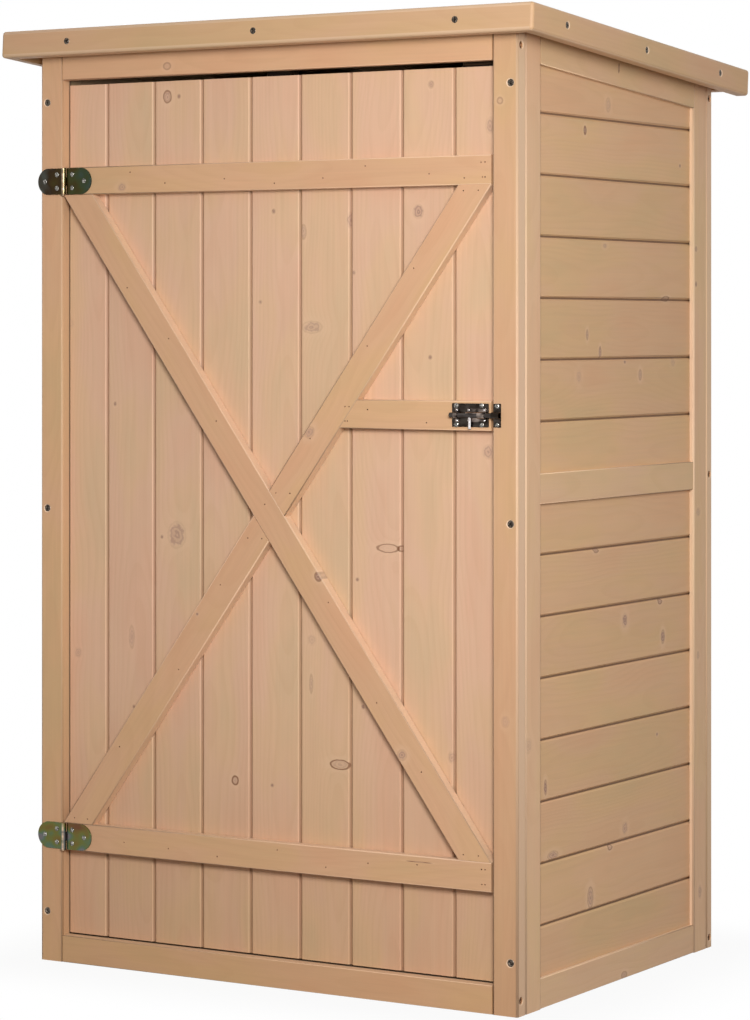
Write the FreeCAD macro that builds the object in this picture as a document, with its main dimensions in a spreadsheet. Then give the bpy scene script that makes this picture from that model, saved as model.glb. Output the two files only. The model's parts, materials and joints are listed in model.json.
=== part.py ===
import FreeCAD, Part
import math
import os
from types import SimpleNamespace

import Sketcher
from FreeCAD import Placement, Rotation, Vector

# Garden storage cabinet of fir boards: a framed box with a lean-to roof, and one ledged and braced door
# that hangs on two surface hinges and is held by a barrel bolt. +X is to the right seen from the front,
# +Y goes back, +Z is up, and the origin is on the ground under the middle of the roof.

SIZES = {
    # Whole cabinet
    "overall_height": (1150, "ground to the line of the roof's front top edge"),
    "body_width": (674, "outside the side panels"),
    "body_depth": (510, "front frame to back frame, outside"),
    # Roof
    "roof_pitch": (3.98, "slope to the back, in degrees"),
    "front_overhang": (31, "roof's front top edge ahead of the front frame"),
    "rear_overhang": (32.6, "roof's rear top edge behind the back frame"),
    "side_overhang": (37, "side fascia outside the side panels"),
    "fascia_height": (33, "square to the slope"),
    "fascia_thick": (15, ""),
    "fascia_arris": (4, "rounding of the roof's outer edges"),
    "rear_fascia_height": (26.5, "square to the slope"),
    "felt_thick": (2, ""),
    "felt_drop": (1, "felt below the fascia's top edge"),
    "roof_board_thick": (10, ""),
    "roof_board_cover": (68, ""),
    "roof_batten": (20, "square section"),
    "batten_gap": (3, "before and behind a roof batten"),
    # Front frame
    "frame_thick": (19.7, ""),
    "stile_width": (33, ""),
    "header_height": (45.8, "at the front, up to the roof boards"),
    "sill_height": (33, "top of the bottom rail"),
    "stop_block_width": (33, "middle block"),
    "stop_block_side_width": (51, "block beside the right stile"),
    "stop_block_thick": (18, "behind the door"),
    "stop_block_lap": (18, "how far a block hangs below the header"),
    "stop_block_gap": (1, "block below the roof battens"),
    # Side panels
    "side_thick": (22, ""),
    "side_stile_width": (36, ""),
    "top_rail_height": (44.6, ""),
    "rail_height": (35, "middle and bottom rails"),
    "rail_set_back": (1.2, "middle and bottom rails behind the stiles' faces"),
    "middle_rail_low": (580.5, "underside of the middle rail"),
    "board_set_back": (6.3, "boards behind the stiles' faces"),
    "groove_depth": (11.5, "in the stiles and rails"),
    "side_board_cover": (71.3, ""),
    # Boards
    "board_thick": (8, ""),
    "tongue_thick": (2.4, ""),
    "tongue_depth": (4, ""),
    "joint_gap": (1.4, "between two boards' shoulders"),
    "vee": (2.4, "chamfer along a board's face"),
    "fit": (0.3, "clearance of a tongue, a groove or a board's end"),
    "least_lap": (2.5, "of a board's edge in a rail's groove"),
    # Back panel
    "back_thick": (16, "frame of the back"),
    "back_stile_width": (34, ""),
    "back_board_cover": (71.3, ""),
    "back_board_rise": (4, "lowest back board above the ground"),
    # Floor and shelves
    "floor_board_thick": (10, ""),
    "floor_board_cover": (70, ""),
    "floor_batten_width": (33, ""),
    "room_gap": (0.5, "round what stands inside the walls"),
    "lower_shelf_top": (385, ""),
    "upper_shelf_top": (735, ""),
    "shelf_thick": (12, ""),
    "shelf_slat_width": (82, ""),
    "shelf_slat_count": (5, ""),
    "shelf_front_gap": (20, "shelf behind the front frame"),
    "cleat": (20, "square section"),
    "shelf_batten_width": (30, ""),
    "shelf_batten_place": (150, "each side of the middle"),
    # Door
    "door_gap": (1.5, "each side of the door"),
    "door_top_gap": (6, ""),
    "door_bottom_gap": (2, ""),
    "door_stop_gap": (0.3, "door boards off the stop blocks"),
    "ledge_thick": (13.7, "ledges and braces"),
    "ledge_width": (34, ""),
    "brace_foot": (44, "level width of a brace's cut end"),
    "top_ledge_drop": (102, "door's top edge to the top ledge"),
    "bottom_ledge_rise": (104, "door's bottom edge to the bottom ledge"),
    "middle_ledge_rise": (630.5, "door's bottom edge to the middle ledge"),
    "door_board_cover": (70.3, ""),
    # Hinges
    "hinge_past_stile": (4, "pin beyond the left stile's inner edge"),
    "leaf_length": (40.5, "pin to the round end"),
    "leaf_height": (32.4, ""),
    "leaf_thick": (1.5, ""),
    "knuckle_radius": (3.25, ""),
    "knuckle_lift": (0.15, "knuckle off the wood"),
    "knuckle_gap": (0.25, ""),
    "pin_radius": (1.6, ""),
    "pin_clearance": (0.05, ""),
    "pin_head_radius": (2.6, ""),
    "pin_head_rise": (1.5, ""),
    "hinge_screw_near": (11.5, "pin to the inner pair of screws"),
    "hinge_screw_far": (29.6, "pin to the outer screw"),
    "hinge_screw_rise": (8.3, "inner screws above and below the middle"),
    # Barrel bolt
    "bolt_rise": (0.7, "rod above the middle ledge's middle"),
    "bolt_inset": (2.8, "plate's right end to the door's edge"),
    "bolt_plate_width": (48, ""),
    "bolt_plate_height": (27, ""),
    "bolt_sheet": (1.2, "of the plate and the keep"),
    "rod_radius": (3, ""),
    "rod_clearance": (0.1, ""),
    "rod_tail": (1.2, "rod past the plate's left end"),
    "rod_short": (0.5, "tip, drawn just clear of the keep"),
    "guide_sheet": (1, "of the strap, the barrel and the keep's hood"),
    "guide_foot": (3.6, "guide's flange beside its arch"),
    "strap_place": (4.5, "plate's left end to the strap"),
    "strap_width": (5, ""),
    "barrel_place": (20.8, "plate's left end to the barrel"),
    "barrel_width": (24.3, ""),
    "knob_place": (25, "plate's left end to the knob"),
    "knob_reach": (15.5, "rod's middle to the knob's tip"),
    "knob_gap": (0.3, "knob off the barrel and its flange"),
    "bolt_throw": (9, "rest to fully shot"),
    "bolt_screw_near": (5.6, "plate's left end to the left screws"),
    "bolt_screw_far": (39.2, "plate's left end to the right screws"),
    "bolt_screw_gap": (0.4, "screw head off the guides' flanges"),
    "keep_inset": (2, "keep from the doorway's edge"),
    "keep_width": (9.6, ""),
    "keep_screw_rise": (10.5, ""),
    # Small screws
    "screw_radius": (1.5, ""),
    "screw_length": (11, ""),
    "screw_head_radius": (2.9, ""),
    "screw_head_flat": (1.8, "radius of the head's top"),
    "screw_head_rise": (1.3, ""),
    "screw_hole_gap": (0.3, ""),
}

doc = FreeCAD.newDocument("garden_cabinet")


class Size:
    """A length, angle or count: its formula on the sheet, and what the formula comes to."""

    def __init__(self, formula, value):
        self.formula = formula
        self.value = value

    def __add__(self, other):
        return Size(f"({self.formula} + {size(other).formula})", self.value + size(other).value)

    def __sub__(self, other):
        return Size(f"({self.formula} - {size(other).formula})", self.value - size(other).value)

    def __mul__(self, other):
        return Size(f"({self.formula} * {size(other).formula})", self.value * size(other).value)

    def __truediv__(self, other):
        return Size(f"({self.formula} / {size(other).formula})", self.value / size(other).value)

    def __neg__(self):
        return Size(f"(0 - {self.formula})", -self.value)


def size(number):
    """A plain number as a Size."""
    return number if isinstance(number, Size) else Size(f"({number})", number)


def sine(angle):
    return Size(f"sin({angle.formula} * 1 deg)", math.sin(math.radians(angle.value)))


def cosine(angle):
    return Size(f"cos({angle.formula} * 1 deg)", math.cos(math.radians(angle.value)))


def whole_up(number):
    return Size(f"ceil({number.formula})", math.ceil(number.value))


def least(one, other):
    return Size(f"min({one.formula}; {other.formula})", min(one.value, other.value))


def make_sheet():
    """The sheet of driving dimensions, and the same dimensions as Sizes."""
    sheet = doc.addObject("Spreadsheet::Sheet", "sizes")
    for row, (name, (value, meaning)) in enumerate(SIZES.items(), start=1):
        sheet.set(f"A{row}", name)
        sheet.set(f"B{row}", str(value))
        sheet.set(f"C{row}", meaning)
        sheet.setAlias(f"B{row}", name)
    doc.recompute()
    return SimpleNamespace(**{name: Size(f"sizes.{name}", value) for name, (value, _) in SIZES.items()})


s = make_sheet()
nodes = {}


# Shared places

half = s.body_width / 2
roof_rise = sine(s.roof_pitch)
roof_run = cosine(s.roof_pitch)
roof_length = (s.front_overhang + s.body_depth + s.rear_overhang) / roof_run
roof_depth = roof_length * roof_run + s.fascia_height * roof_rise
roof_front = s.fascia_height * roof_rise - roof_depth / 2
front = roof_front + s.front_overhang
frame_back = front + s.frame_thick
back_face = front + s.body_depth
back_front = back_face - s.back_thick
room_back = back_front - s.board_thick
inner = half - s.side_thick
roof_under_drop = s.felt_drop + s.felt_thick + s.roof_board_thick
door_half = half - s.stile_width - s.door_gap
board_front = front + s.ledge_thick
stop_front = board_front + s.board_thick + s.door_stop_gap


def roof_under(y):
    """Height of the roof boards' underside over a place from front to back."""
    level = s.overall_height - roof_under_drop / roof_run
    return level - (y - roof_front) * roof_rise / roof_run


doorway_top = roof_under(front) - s.header_height
door_low = s.sill_height + s.door_bottom_gap
door_high = doorway_top - s.door_top_gap
top_ledge_low = door_high - s.top_ledge_drop - s.ledge_width
bottom_ledge_low = door_low + s.bottom_ledge_rise
middle_ledge_low = door_low + s.middle_ledge_rise


# Ways to make a piece

OVER = 1
PLANES = {"x": ("YZ_Plane", 1), "y": ("XZ_Plane", -1), "z": ("XY_Plane", 1)}


def bind(thing, prop, value):
    thing.setExpression(prop, size(value).formula)


def span(one, other):
    """Two ends in rising order."""
    return sorted((size(one), size(other)), key=lambda end: end.value)


def keep(name, *pieces):
    """Gives a node its piece, or its group of separate pieces."""
    node = pieces[0]
    if len(pieces) > 1:
        node = doc.addObject("Part::Compound", name)
        node.Links = list(pieces)
    node.Label = name
    nodes[name] = node
    return node


def box(name, x, y, z):
    """A squared piece between two ends along each axis."""
    piece = doc.addObject("Part::Box", name)
    for side, axis, ends in (("Length", "x", x), ("Width", "y", y), ("Height", "z", z)):
        low, high = span(*ends)
        bind(piece, side, high - low)
        bind(piece, f"Placement.Base.{axis}", low)
    return piece


def outline(body, axis, at, corners):
    """A closed outline of straight lines on the body's own plane, every corner tied to the sheet."""
    role, facing = PLANES[axis]
    sketch = body.newObject("Sketcher::SketchObject", body.Name + "_outline")
    plane = next(item for item in body.Origin.OriginFeatures if item.Role == role)
    sketch.AttachmentSupport = (plane, [""])
    sketch.MapMode = "FlatFace"
    bind(sketch, "AttachmentOffset.Base.z", size(at) * facing)
    places = [(size(u), size(v)) for u, v in corners]
    points = [Vector(u.value, v.value, 0) for u, v in places]
    count = len(points)
    sketch.addGeometry([Part.LineSegment(points[i], points[(i + 1) % count]) for i in range(count)], False)
    sketch.addConstraint([Sketcher.Constraint("Coincident", i, 2, (i + 1) % count, 1) for i in range(count)])
    for i, (u, v) in enumerate(places):
        for kind, place in (("DistanceX", u), ("DistanceY", v)):
            number = sketch.addConstraint(Sketcher.Constraint(kind, -1, 1, i, 1, place.value))
            bind(sketch, f"Constraints[{number}]", place)
    return sketch, facing


def pad(body, axis, ends, corners):
    """Adds the outline to a body, from one end to the other along an axis."""
    low, high = span(*ends)
    sketch, facing = outline(body, axis, low, corners)
    feature = body.newObject("PartDesign::Pad", body.Name + "_pad")
    feature.Profile = sketch
    feature.Reversed = facing < 0
    bind(feature, "Length", high - low)
    return feature


def pocket(body, axis, ends, corners):
    """Takes the outline out of a body, from one end to the other along an axis."""
    doc.recompute()
    before = body.Shape.Volume
    low, high = span(*ends)
    sketch, facing = outline(body, axis, low, corners)
    feature = body.newObject("PartDesign::Pocket", body.Name + "_pocket")
    feature.Profile = sketch
    feature.Reversed = facing > 0
    bind(feature, "Length", high - low)
    doc.recompute()
    if body.Shape.Volume > before - 1:
        raise RuntimeError(f"{body.Name}: a pocket takes nothing out")
    return feature


def prism(name, axis, ends, corners):
    body = doc.addObject("PartDesign::Body", name)
    pad(body, axis, ends, corners)
    return body


def round_edges(body, radius):
    """Rounds every edge of a body."""
    base = body.Tip
    feature = body.newObject("PartDesign::Fillet", body.Name + "_rounding")
    feature.Base = (base, [""])
    feature.UseAllEdges = True
    bind(feature, "Radius", radius)
    return feature


def rectangle(u, v):
    (u_low, u_high), (v_low, v_high) = span(*u), span(*v)
    return [(u_low, v_low), (u_high, v_low), (u_high, v_high), (u_low, v_high)]


def cylinder(name, radius, axis, ends, u, v):
    """A round piece along an axis, at a place on the two other axes, in X, Y, Z order."""
    piece = doc.addObject("Part::Cylinder", name)
    set_round(piece, axis, ends, u, v)
    bind(piece, "Radius", radius)
    return piece


def cone(name, low_radius, high_radius, axis, ends, u, v):
    piece = doc.addObject("Part::Cone", name)
    set_round(piece, axis, ends, u, v)
    bind(piece, "Radius1", low_radius)
    bind(piece, "Radius2", high_radius)
    return piece


def set_round(piece, axis, ends, u, v):
    turns = {"x": Rotation(Vector(0, 1, 0), 90), "y": Rotation(Vector(1, 0, 0), -90), "z": Rotation()}
    piece.Placement = Placement(Vector(), turns[axis])
    low, high = span(*ends)
    bind(piece, "Height", high - low)
    bind(piece, f"Placement.Base.{axis}", low)
    for other, place in zip([name for name in "xyz" if name != axis], (u, v)):
        bind(piece, f"Placement.Base.{other}", place)


def fuse(name, *pieces):
    whole = doc.addObject("Part::MultiFuse", name)
    whole.Shapes = list(pieces)
    whole.Refine = True
    return whole


def shared(name, one, other):
    """What two pieces have in common."""
    piece = doc.addObject("Part::Common", name)
    piece.Base = one
    piece.Tool = other
    return piece


def take(name, base, *tools):
    """The base piece without its tools."""
    tool = tools[0] if len(tools) == 1 else fuse(name + "_tools", *tools)
    piece = doc.addObject("Part::Cut", name)
    piece.Base = base
    piece.Tool = tool
    return piece


# Tongued and grooved boards

def board_outline(low, width, face, inward, tongue, groove, thick):
    """One board's section: its width, then its depth from the face, with a vee along each joint edge."""
    high = low + width - s.joint_gap
    middle = thick / 2
    tongue_side = s.tongue_thick / 2
    groove_side = tongue_side + s.fit / 2
    corners = [(low, thick), (high, thick)]
    if tongue:
        tip = high + s.tongue_depth
        corners += [(high, middle + tongue_side), (tip, middle + tongue_side)]
        corners += [(tip, middle - tongue_side), (high, middle - tongue_side)]
        corners += [(high, s.vee), (high - s.vee, size(0))]
    else:
        corners += [(high, size(0))]
    if groove:
        bottom = low + s.tongue_depth + s.fit
        corners += [(low + s.vee, size(0)), (low, s.vee)]
        corners += [(low, middle - groove_side), (bottom, middle - groove_side)]
        corners += [(bottom, middle + groove_side), (low, middle + groove_side)]
    else:
        corners += [(low, size(0))]
    return [(along, face + depth * inward) for along, depth in corners]


def board(name, axis, run, section, depth_first):
    """One board along an axis; depth_first is for planes whose first direction is the board's depth."""
    corners = [(depth, along) for along, depth in section] if depth_first else section
    return prism(name, axis, run, corners)


def repeat(body, direction, cover, count):
    """Repeats a body's one board along a direction."""
    row = body.newObject("PartDesign::LinearPattern", body.Name + "_row")
    row.Originals = [body.Tip]
    row.Direction = (next(item for item in body.Origin.OriginFeatures if item.Role == direction), [""])
    bind(row, "Length", cover * (count - 1))
    bind(row, "Occurrences", count)
    body.Tip = row


def board_row(name, axis, run, ends, cover, face, inward, direction, thick, depth_first=False, groove=None):
    """Boards side by side between two ends, the first and the last ripped alike. Where the first stands in a
    groove, only that one is ripped, and it is left out where the next would reach the groove without it."""
    low, high = span(*ends)
    reach = high - low + s.joint_gap
    if groove is None:
        full = whole_up(reach / cover) - 2
        ripped = (reach - cover * full) / 2
        between = full
    else:
        full = whole_up((reach - groove) / cover) - 1
        ripped = least(reach - cover * full, cover)
        between = full - 1
    start = high + s.joint_gap - cover * full - ripped
    if groove is None:
        start = low
    first = board(f"{name}_first", axis, run,
                  board_outline(start, ripped, face, inward, True, False, thick), depth_first)
    rest = board(f"{name}_inner", axis, run,
                 board_outline(start + ripped, cover, face, inward, True, True, thick), depth_first)
    repeat(rest, direction, cover, between)
    last_low = start + ripped + cover * between
    width = high + s.joint_gap - last_low
    last = board(f"{name}_last", axis, run,
                 board_outline(last_low, width, face, inward, False, True, thick), depth_first)
    return first, rest, last


# Front frame

def make_front_frame():
    slope = [(front, roof_under(front)), (frame_back, roof_under(frame_back))]
    stile = [(front, 0), (frame_back, 0), slope[1], slope[0]]
    keep("front_stile_left", prism("front_stile_left", "x", (-half, -half + s.stile_width), stile))
    keep("front_stile_right", prism("front_stile_right", "x", (half - s.stile_width, half), stile))
    between = (-half + s.stile_width, half - s.stile_width)
    header = [(front, doorway_top), (frame_back, doorway_top), slope[1], slope[0]]
    keep("front_header", prism("front_header", "x", between, header))
    keep("front_bottom_rail", box("front_bottom_rail", between, (front, frame_back), (0, s.sill_height)))
    stop_back = stop_front + s.stop_block_thick
    low = doorway_top - s.stop_block_lap
    high = roof_under(stop_back) - s.roof_batten / roof_run - s.stop_block_gap
    section = [(stop_front, low), (stop_back, low), (stop_back, high),
               (frame_back, high), (frame_back, doorway_top), (stop_front, doorway_top)]
    blocks = {"middle": (-s.stop_block_width / 2, s.stop_block_width / 2),
              "side": (between[1] - s.stop_block_side_width, between[1])}
    keep("door_stop_blocks", *[prism(f"stop_block_{place}", "x", across, section)
                               for place, across in blocks.items()])


# Side panels

def make_side_panel(name, side):
    """A grooved frame that holds two sets of level boards. side is 1 on the right, -1 on the left."""
    outer = half * side
    inside = inner * side
    set_back = outer - s.rail_set_back * side
    face = outer - s.board_set_back * side
    groove = (face + s.fit / 2 * side, face - (s.board_thick + s.fit / 2) * side)
    stile_end = frame_back + s.side_stile_width
    rear_start = back_front - s.side_stile_width

    def rail_low(y):
        return roof_under(y) - s.top_rail_height

    def boards_top(y):
        return rail_low(y) + s.groove_depth - s.fit

    def stile(node, start, end, groove_start, groove_end):
        body = prism(node, "x", (inside, outer), [
            (start, 0), (end, 0), (end, roof_under(end)), (start, roof_under(start))])
        pocket(body, "x", groove, rectangle((groove_start, groove_end), (-OVER, s.overall_height)))
        keep(node, body)

    stile(f"{name}_front_stile", frame_back, stile_end, stile_end - s.groove_depth, stile_end + OVER)
    stile(f"{name}_rear_stile", rear_start, back_front, rear_start - OVER, rear_start + s.groove_depth)

    top_rail = prism(f"{name}_top_rail", "x", (inside, outer), [
        (stile_end, rail_low(stile_end)), (rear_start, rail_low(rear_start)),
        (rear_start, roof_under(rear_start)), (stile_end, roof_under(stile_end))])
    pocket(top_rail, "x", groove, [
        (stile_end, rail_low(stile_end) - OVER), (rear_start, rail_low(rear_start) - OVER),
        (rear_start, rail_low(rear_start) + s.groove_depth),
        (stile_end, rail_low(stile_end) + s.groove_depth)])
    keep(f"{name}_top_rail", top_rail)

    rail_run = (stile_end, rear_start)
    middle_high = s.middle_rail_low + s.rail_height
    middle = box(f"{name}_middle_rail_blank", (inside, set_back), rail_run, (s.middle_rail_low, middle_high))
    low_groove = box(f"{name}_middle_rail_low_groove", groove, rail_run,
                     (s.middle_rail_low - OVER, s.middle_rail_low + s.groove_depth))
    high_groove = box(f"{name}_middle_rail_high_groove", groove, rail_run,
                      (middle_high - s.groove_depth, middle_high + OVER))
    keep(f"{name}_middle_rail", take(f"{name}_middle_rail", middle, low_groove, high_groove))
    bottom = box(f"{name}_bottom_rail_blank", (inside, set_back), rail_run, (0, s.rail_height))
    bottom_groove = box(f"{name}_bottom_rail_groove", groove, rail_run,
                        (s.rail_height - s.groove_depth, s.rail_height + OVER))
    keep(f"{name}_bottom_rail", take(f"{name}_bottom_rail", bottom, bottom_groove))

    board_run = (stile_end - s.groove_depth + s.fit, rear_start + s.groove_depth - s.fit)
    low = s.rail_height - s.groove_depth + s.fit
    high = s.middle_rail_low + s.groove_depth - s.fit
    hidden = s.groove_depth - s.least_lap
    keep(f"{name}_lower_boards", *board_row(
        f"{name}_lower_board", "y", board_run, (low, high), s.side_board_cover,
        face, -side, "Z_Axis", s.board_thick, depth_first=True, groove=hidden))

    start = middle_high - s.groove_depth + s.fit
    front_top = boards_top(board_run[0])
    upper = board(f"{name}_upper_board", "y", board_run,
                  board_outline(start, s.side_board_cover, face, -side, True, True, s.board_thick), True)
    repeat(upper, "Z_Axis", s.side_board_cover, whole_up((front_top - hidden - start) / s.side_board_cover))
    clear = s.overall_height + s.side_board_cover
    ends = (board_run[0] - OVER, board_run[1] + OVER)
    slope = prism(f"{name}_slope", "x", (inside, outer), [
        (ends[0], boards_top(ends[0])), (ends[1], boards_top(ends[1])), (ends[1], clear), (ends[0], clear)])
    keep(f"{name}_upper_boards", take(f"{name}_upper_boards", upper, slope))


# Back panel

def make_back_panel():
    slope = [(back_face, roof_under(back_face)), (back_front, roof_under(back_front))]
    stile = [(back_front, 0), (back_face, 0)] + slope
    keep("back_stile_left", prism("back_stile_left", "x", (-half, -half + s.back_stile_width), stile))
    keep("back_stile_right", prism("back_stile_right", "x", (half - s.back_stile_width, half), stile))
    between = (-half + s.back_stile_width, half - s.back_stile_width)
    top_low = roof_under(back_face) - s.top_rail_height
    rail = [(back_front, top_low), (back_face, top_low)] + slope
    keep("back_top_rail", prism("back_top_rail", "x", between, rail))
    depth = (back_front, back_face)
    middle = (s.middle_rail_low, s.middle_rail_low + s.rail_height)
    keep("back_middle_rail", box("back_middle_rail", between, depth, middle))
    keep("back_bottom_rail", box("back_bottom_rail", between, depth, (0, s.rail_height)))
    run = (-inner + s.room_gap, inner - s.room_gap)
    ends = (s.back_board_rise, roof_under(back_front) - s.room_gap)
    keep("back_boards", *board_row(
        "back_board", "x", run, ends, s.back_board_cover, back_front, -1, "Z_Axis", s.board_thick,
        depth_first=True))


# Floor and shelves

def make_floor():
    across = (-inner + s.room_gap, inner - s.room_gap)
    depth = (frame_back + s.room_gap, room_back - s.room_gap)
    top = s.sill_height
    under = top - s.floor_board_thick
    boards = board_row("floor_board", "y", depth, across, s.floor_board_cover, top, -1, "X_Axis",
                       s.floor_board_thick)
    keep("floor_boards", *boards)
    middle = (depth[0] + depth[1] - s.floor_batten_width) / 2
    starts = (depth[0], middle, depth[1] - s.floor_batten_width)
    battens = [box(f"floor_batten_{number}", across, (place, place + s.floor_batten_width), (0, under))
               for number, place in enumerate(starts, start=1)]
    keep("floor_battens", *battens)


def make_shelf(name, top):
    """One shelf: slats from side to side, on two battens and two cleats."""
    under = top - s.shelf_thick
    across = (-inner + s.room_gap, inner - s.room_gap)
    depth = (frame_back + s.shelf_front_gap, room_back - s.room_gap)
    step = (depth[1] - depth[0] - s.shelf_slat_width) / (s.shelf_slat_count - 1)
    slats = prism(f"{name}_slat", "x", across,
                  rectangle((depth[0], depth[0] + s.shelf_slat_width), (under, top)))
    repeat(slats, "Y_Axis", step, s.shelf_slat_count)
    keep(f"{name}_slats", slats)
    battens = []
    cleats = []
    for hand, side in (("left", -1), ("right", 1)):
        place = s.shelf_batten_place * side
        width = (place - s.shelf_batten_width / 2, place + s.shelf_batten_width / 2)
        battens.append(box(f"{name}_batten_{hand}", width, depth, (under - s.shelf_thick, under)))
        cleats.append(box(f"{name}_cleat_{hand}", (inner * side, (inner - s.cleat) * side),
                          (stop_front + s.room_gap, depth[1]), (under - s.cleat, under)))
    return battens, cleats


def make_shelves():
    battens = []
    cleats = []
    for name, top in (("lower_shelf", s.lower_shelf_top), ("upper_shelf", s.upper_shelf_top)):
        more_battens, more_cleats = make_shelf(name, top)
        battens += more_battens
        cleats += more_cleats
    keep("shelf_battens", *battens)
    keep("shelf_cleats", *cleats)


# Roof, made flat from its front top edge and then tilted

def tilt(piece, x=0, y=0, z=0):
    """Sets a piece of the roof at its place across, along and square to the slope."""
    piece.Placement = Placement(Vector(), Rotation(Vector(-1, 0, 0), s.roof_pitch.value))
    bind(piece, "Placement.Rotation.Angle", s.roof_pitch)
    bind(piece, "Placement.Base.x", x)
    bind(piece, "Placement.Base.y", roof_front + size(y) * roof_run + size(z) * roof_rise)
    bind(piece, "Placement.Base.z", s.overall_height - size(y) * roof_rise + size(z) * roof_run)
    return piece


def roof_box(name, x, y, z):
    """A squared piece that lies along the slope."""
    piece = doc.addObject("Part::Box", name)
    ends = [span(*pair) for pair in (x, y, z)]
    for side, (low, high) in zip(("Length", "Width", "Height"), ends):
        bind(piece, side, high - low)
    return tilt(piece, *[low for low, high in ends])


def make_roof():
    wide = half + s.side_overhang
    rim = s.fascia_thick
    long = roof_length
    height = (-s.fascia_height, 0)
    rear_height = (-s.rear_fascia_height, 0)
    across = (-wide + rim, wide - rim)
    along = (rim, long - rim)
    fascias = {
        "roof_fascia_front": (height, [(-wide, 0), (wide, 0), (across[1], rim), (across[0], rim)]),
        "roof_fascia_rear": (rear_height, rectangle(across, (along[1], long))),
        "roof_fascia_left": (height, [(-wide, 0), (across[0], rim), (across[0], long), (-wide, long)]),
        "roof_fascia_right": (height, [(wide, 0), (wide, long), (across[1], long), (across[1], rim)]),
    }
    block = prism("roof_block", "z", height, rectangle((-wide, wide), (0, long)))
    round_edges(block, s.fascia_arris)
    for name, (rise, corners) in fascias.items():
        keep(name, tilt(shared(name, prism(f"{name}_squared", "z", rise, corners), block)))
    felt_top = -s.felt_drop
    board_top = felt_top - s.felt_thick
    board_low = board_top - s.roof_board_thick
    keep("roof_felt", roof_box("roof_felt", across, along, (board_top, felt_top)))
    boards = board_row("roof_board", "x", across, along, s.roof_board_cover, board_top, -1, "Y_Axis",
                       s.roof_board_thick)
    keep("roof_boards", *[tilt(piece) for piece in boards])
    start = (frame_back + s.batten_gap - roof_front) / roof_run
    end = (room_back - s.batten_gap - roof_front) / roof_run
    reach = inner - s.room_gap
    places = {"left": -reach, "middle": -s.roof_batten / 2, "right": reach - s.roof_batten}
    battens = [roof_box(f"roof_batten_{place}", (low, low + s.roof_batten), (start, end),
                        (board_low - s.roof_batten, board_low)) for place, low in places.items()]
    keep("roof_battens", *battens)


# Door

def make_door_boards():
    keep("door_boards", *board_row("door_board", "z", (door_low, door_high), (-door_half, door_half),
                                   s.door_board_cover, board_front, 1, "X_Axis", s.board_thick))


def make_ledges_and_braces():
    """Three ledges, and two braces that cross: one whole, and one in two pieces that meet it."""
    depth = (front, board_front)
    edge = door_half
    foot = s.brace_foot
    high = top_ledge_low
    low = bottom_ledge_low + s.ledge_width
    run = edge * 2 - foot
    fall = (high - low) / run

    keep("top_ledge", box("top_ledge", (-edge, edge), depth, (high, high + s.ledge_width)))
    keep("bottom_ledge", box("bottom_ledge", (-edge, edge), depth, (bottom_ledge_low, low)))

    def crossing(z):
        """Where the crossing brace's right edge passes a height."""
        return edge - (high - z) / fall

    ledge_ends = (middle_ledge_low, middle_ledge_low + s.ledge_width)
    keep("middle_ledge", prism("middle_ledge", "y", depth, [
        (crossing(ledge_ends[0]), ledge_ends[0]), (edge, ledge_ends[0]),
        (edge, ledge_ends[1]), (crossing(ledge_ends[1]), ledge_ends[1])]))

    keep("long_brace", prism("long_brace", "y", depth, [
        (-edge, high), (-edge + foot, high), (edge, low), (edge - foot, low)]))
    middle = (high + low) / 2
    keep("upper_brace", prism("upper_brace", "y", depth, [
        (edge - foot, high), (edge, high), (foot / 2, middle), (0, high - (edge - foot) * fall)]))
    keep("lower_brace", prism("lower_brace", "y", depth, [
        (-edge, low), (-edge + foot, low), (0, high - edge * fall), (-foot / 2, middle)]))


# Hinges and their screws

hinge_x = -half + s.stile_width + s.hinge_past_stile
hinge_y = front - s.knuckle_radius - s.knuckle_lift
hinge_heights = {"top": top_ledge_low + s.ledge_width / 2, "bottom": bottom_ledge_low + s.ledge_width / 2}


def make_screw(name, x, z, seat):
    """A small round-headed screw driven back from its seat."""
    shank = cylinder(f"{name}_shank", s.screw_radius, "y", (seat, seat + s.screw_length), x, z)
    head = cone(f"{name}_head", s.screw_head_flat, s.screw_head_radius, "y",
                (seat - s.screw_head_rise, seat), x, z)
    return fuse(name, shank, head)


def hinge_screw_places(side, middle):
    near = hinge_x + s.hinge_screw_near * side
    return [(near, middle + s.hinge_screw_rise), (near, middle - s.hinge_screw_rise),
            (hinge_x + s.hinge_screw_far * side, middle)]


def make_leaf(name, side, middle, knuckles):
    """A hinge leaf: a round-ended plate rolled into its knuckles. side is 1 on the door, -1 on the frame."""
    radius = s.leaf_height / 2
    plate_depth = (front - s.leaf_thick, front)
    near = hinge_x + (s.knuckle_radius + s.knuckle_gap) * side
    far = hinge_x + (s.leaf_length - radius) * side
    plate = box(f"{name}_plate", (near, far), plate_depth, (middle - radius, middle + radius))
    end = cylinder(f"{name}_end", radius, "y", plate_depth, far, middle)
    parts = [plate, end]
    for number, (low, high) in enumerate(knuckles, start=1):
        parts.append(box(f"{name}_root_{number}", (hinge_x, near), plate_depth, (low, high)))
        parts.append(cylinder(f"{name}_knuckle_{number}", s.knuckle_radius, "z", (low, high),
                              hinge_x, hinge_y))
    holes = [cylinder(f"{name}_pin_hole", s.pin_radius + s.pin_clearance, "z",
                      (middle - radius - OVER, middle + radius + OVER), hinge_x, hinge_y)]
    for number, (x, z) in enumerate(hinge_screw_places(side, middle), start=1):
        holes.append(cylinder(f"{name}_screw_hole_{number}", s.screw_radius + s.screw_hole_gap, "y",
                              (front - s.leaf_thick - OVER, front + OVER), x, z))
    keep(name, take(name, fuse(f"{name}_blank", *parts), *holes))


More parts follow.
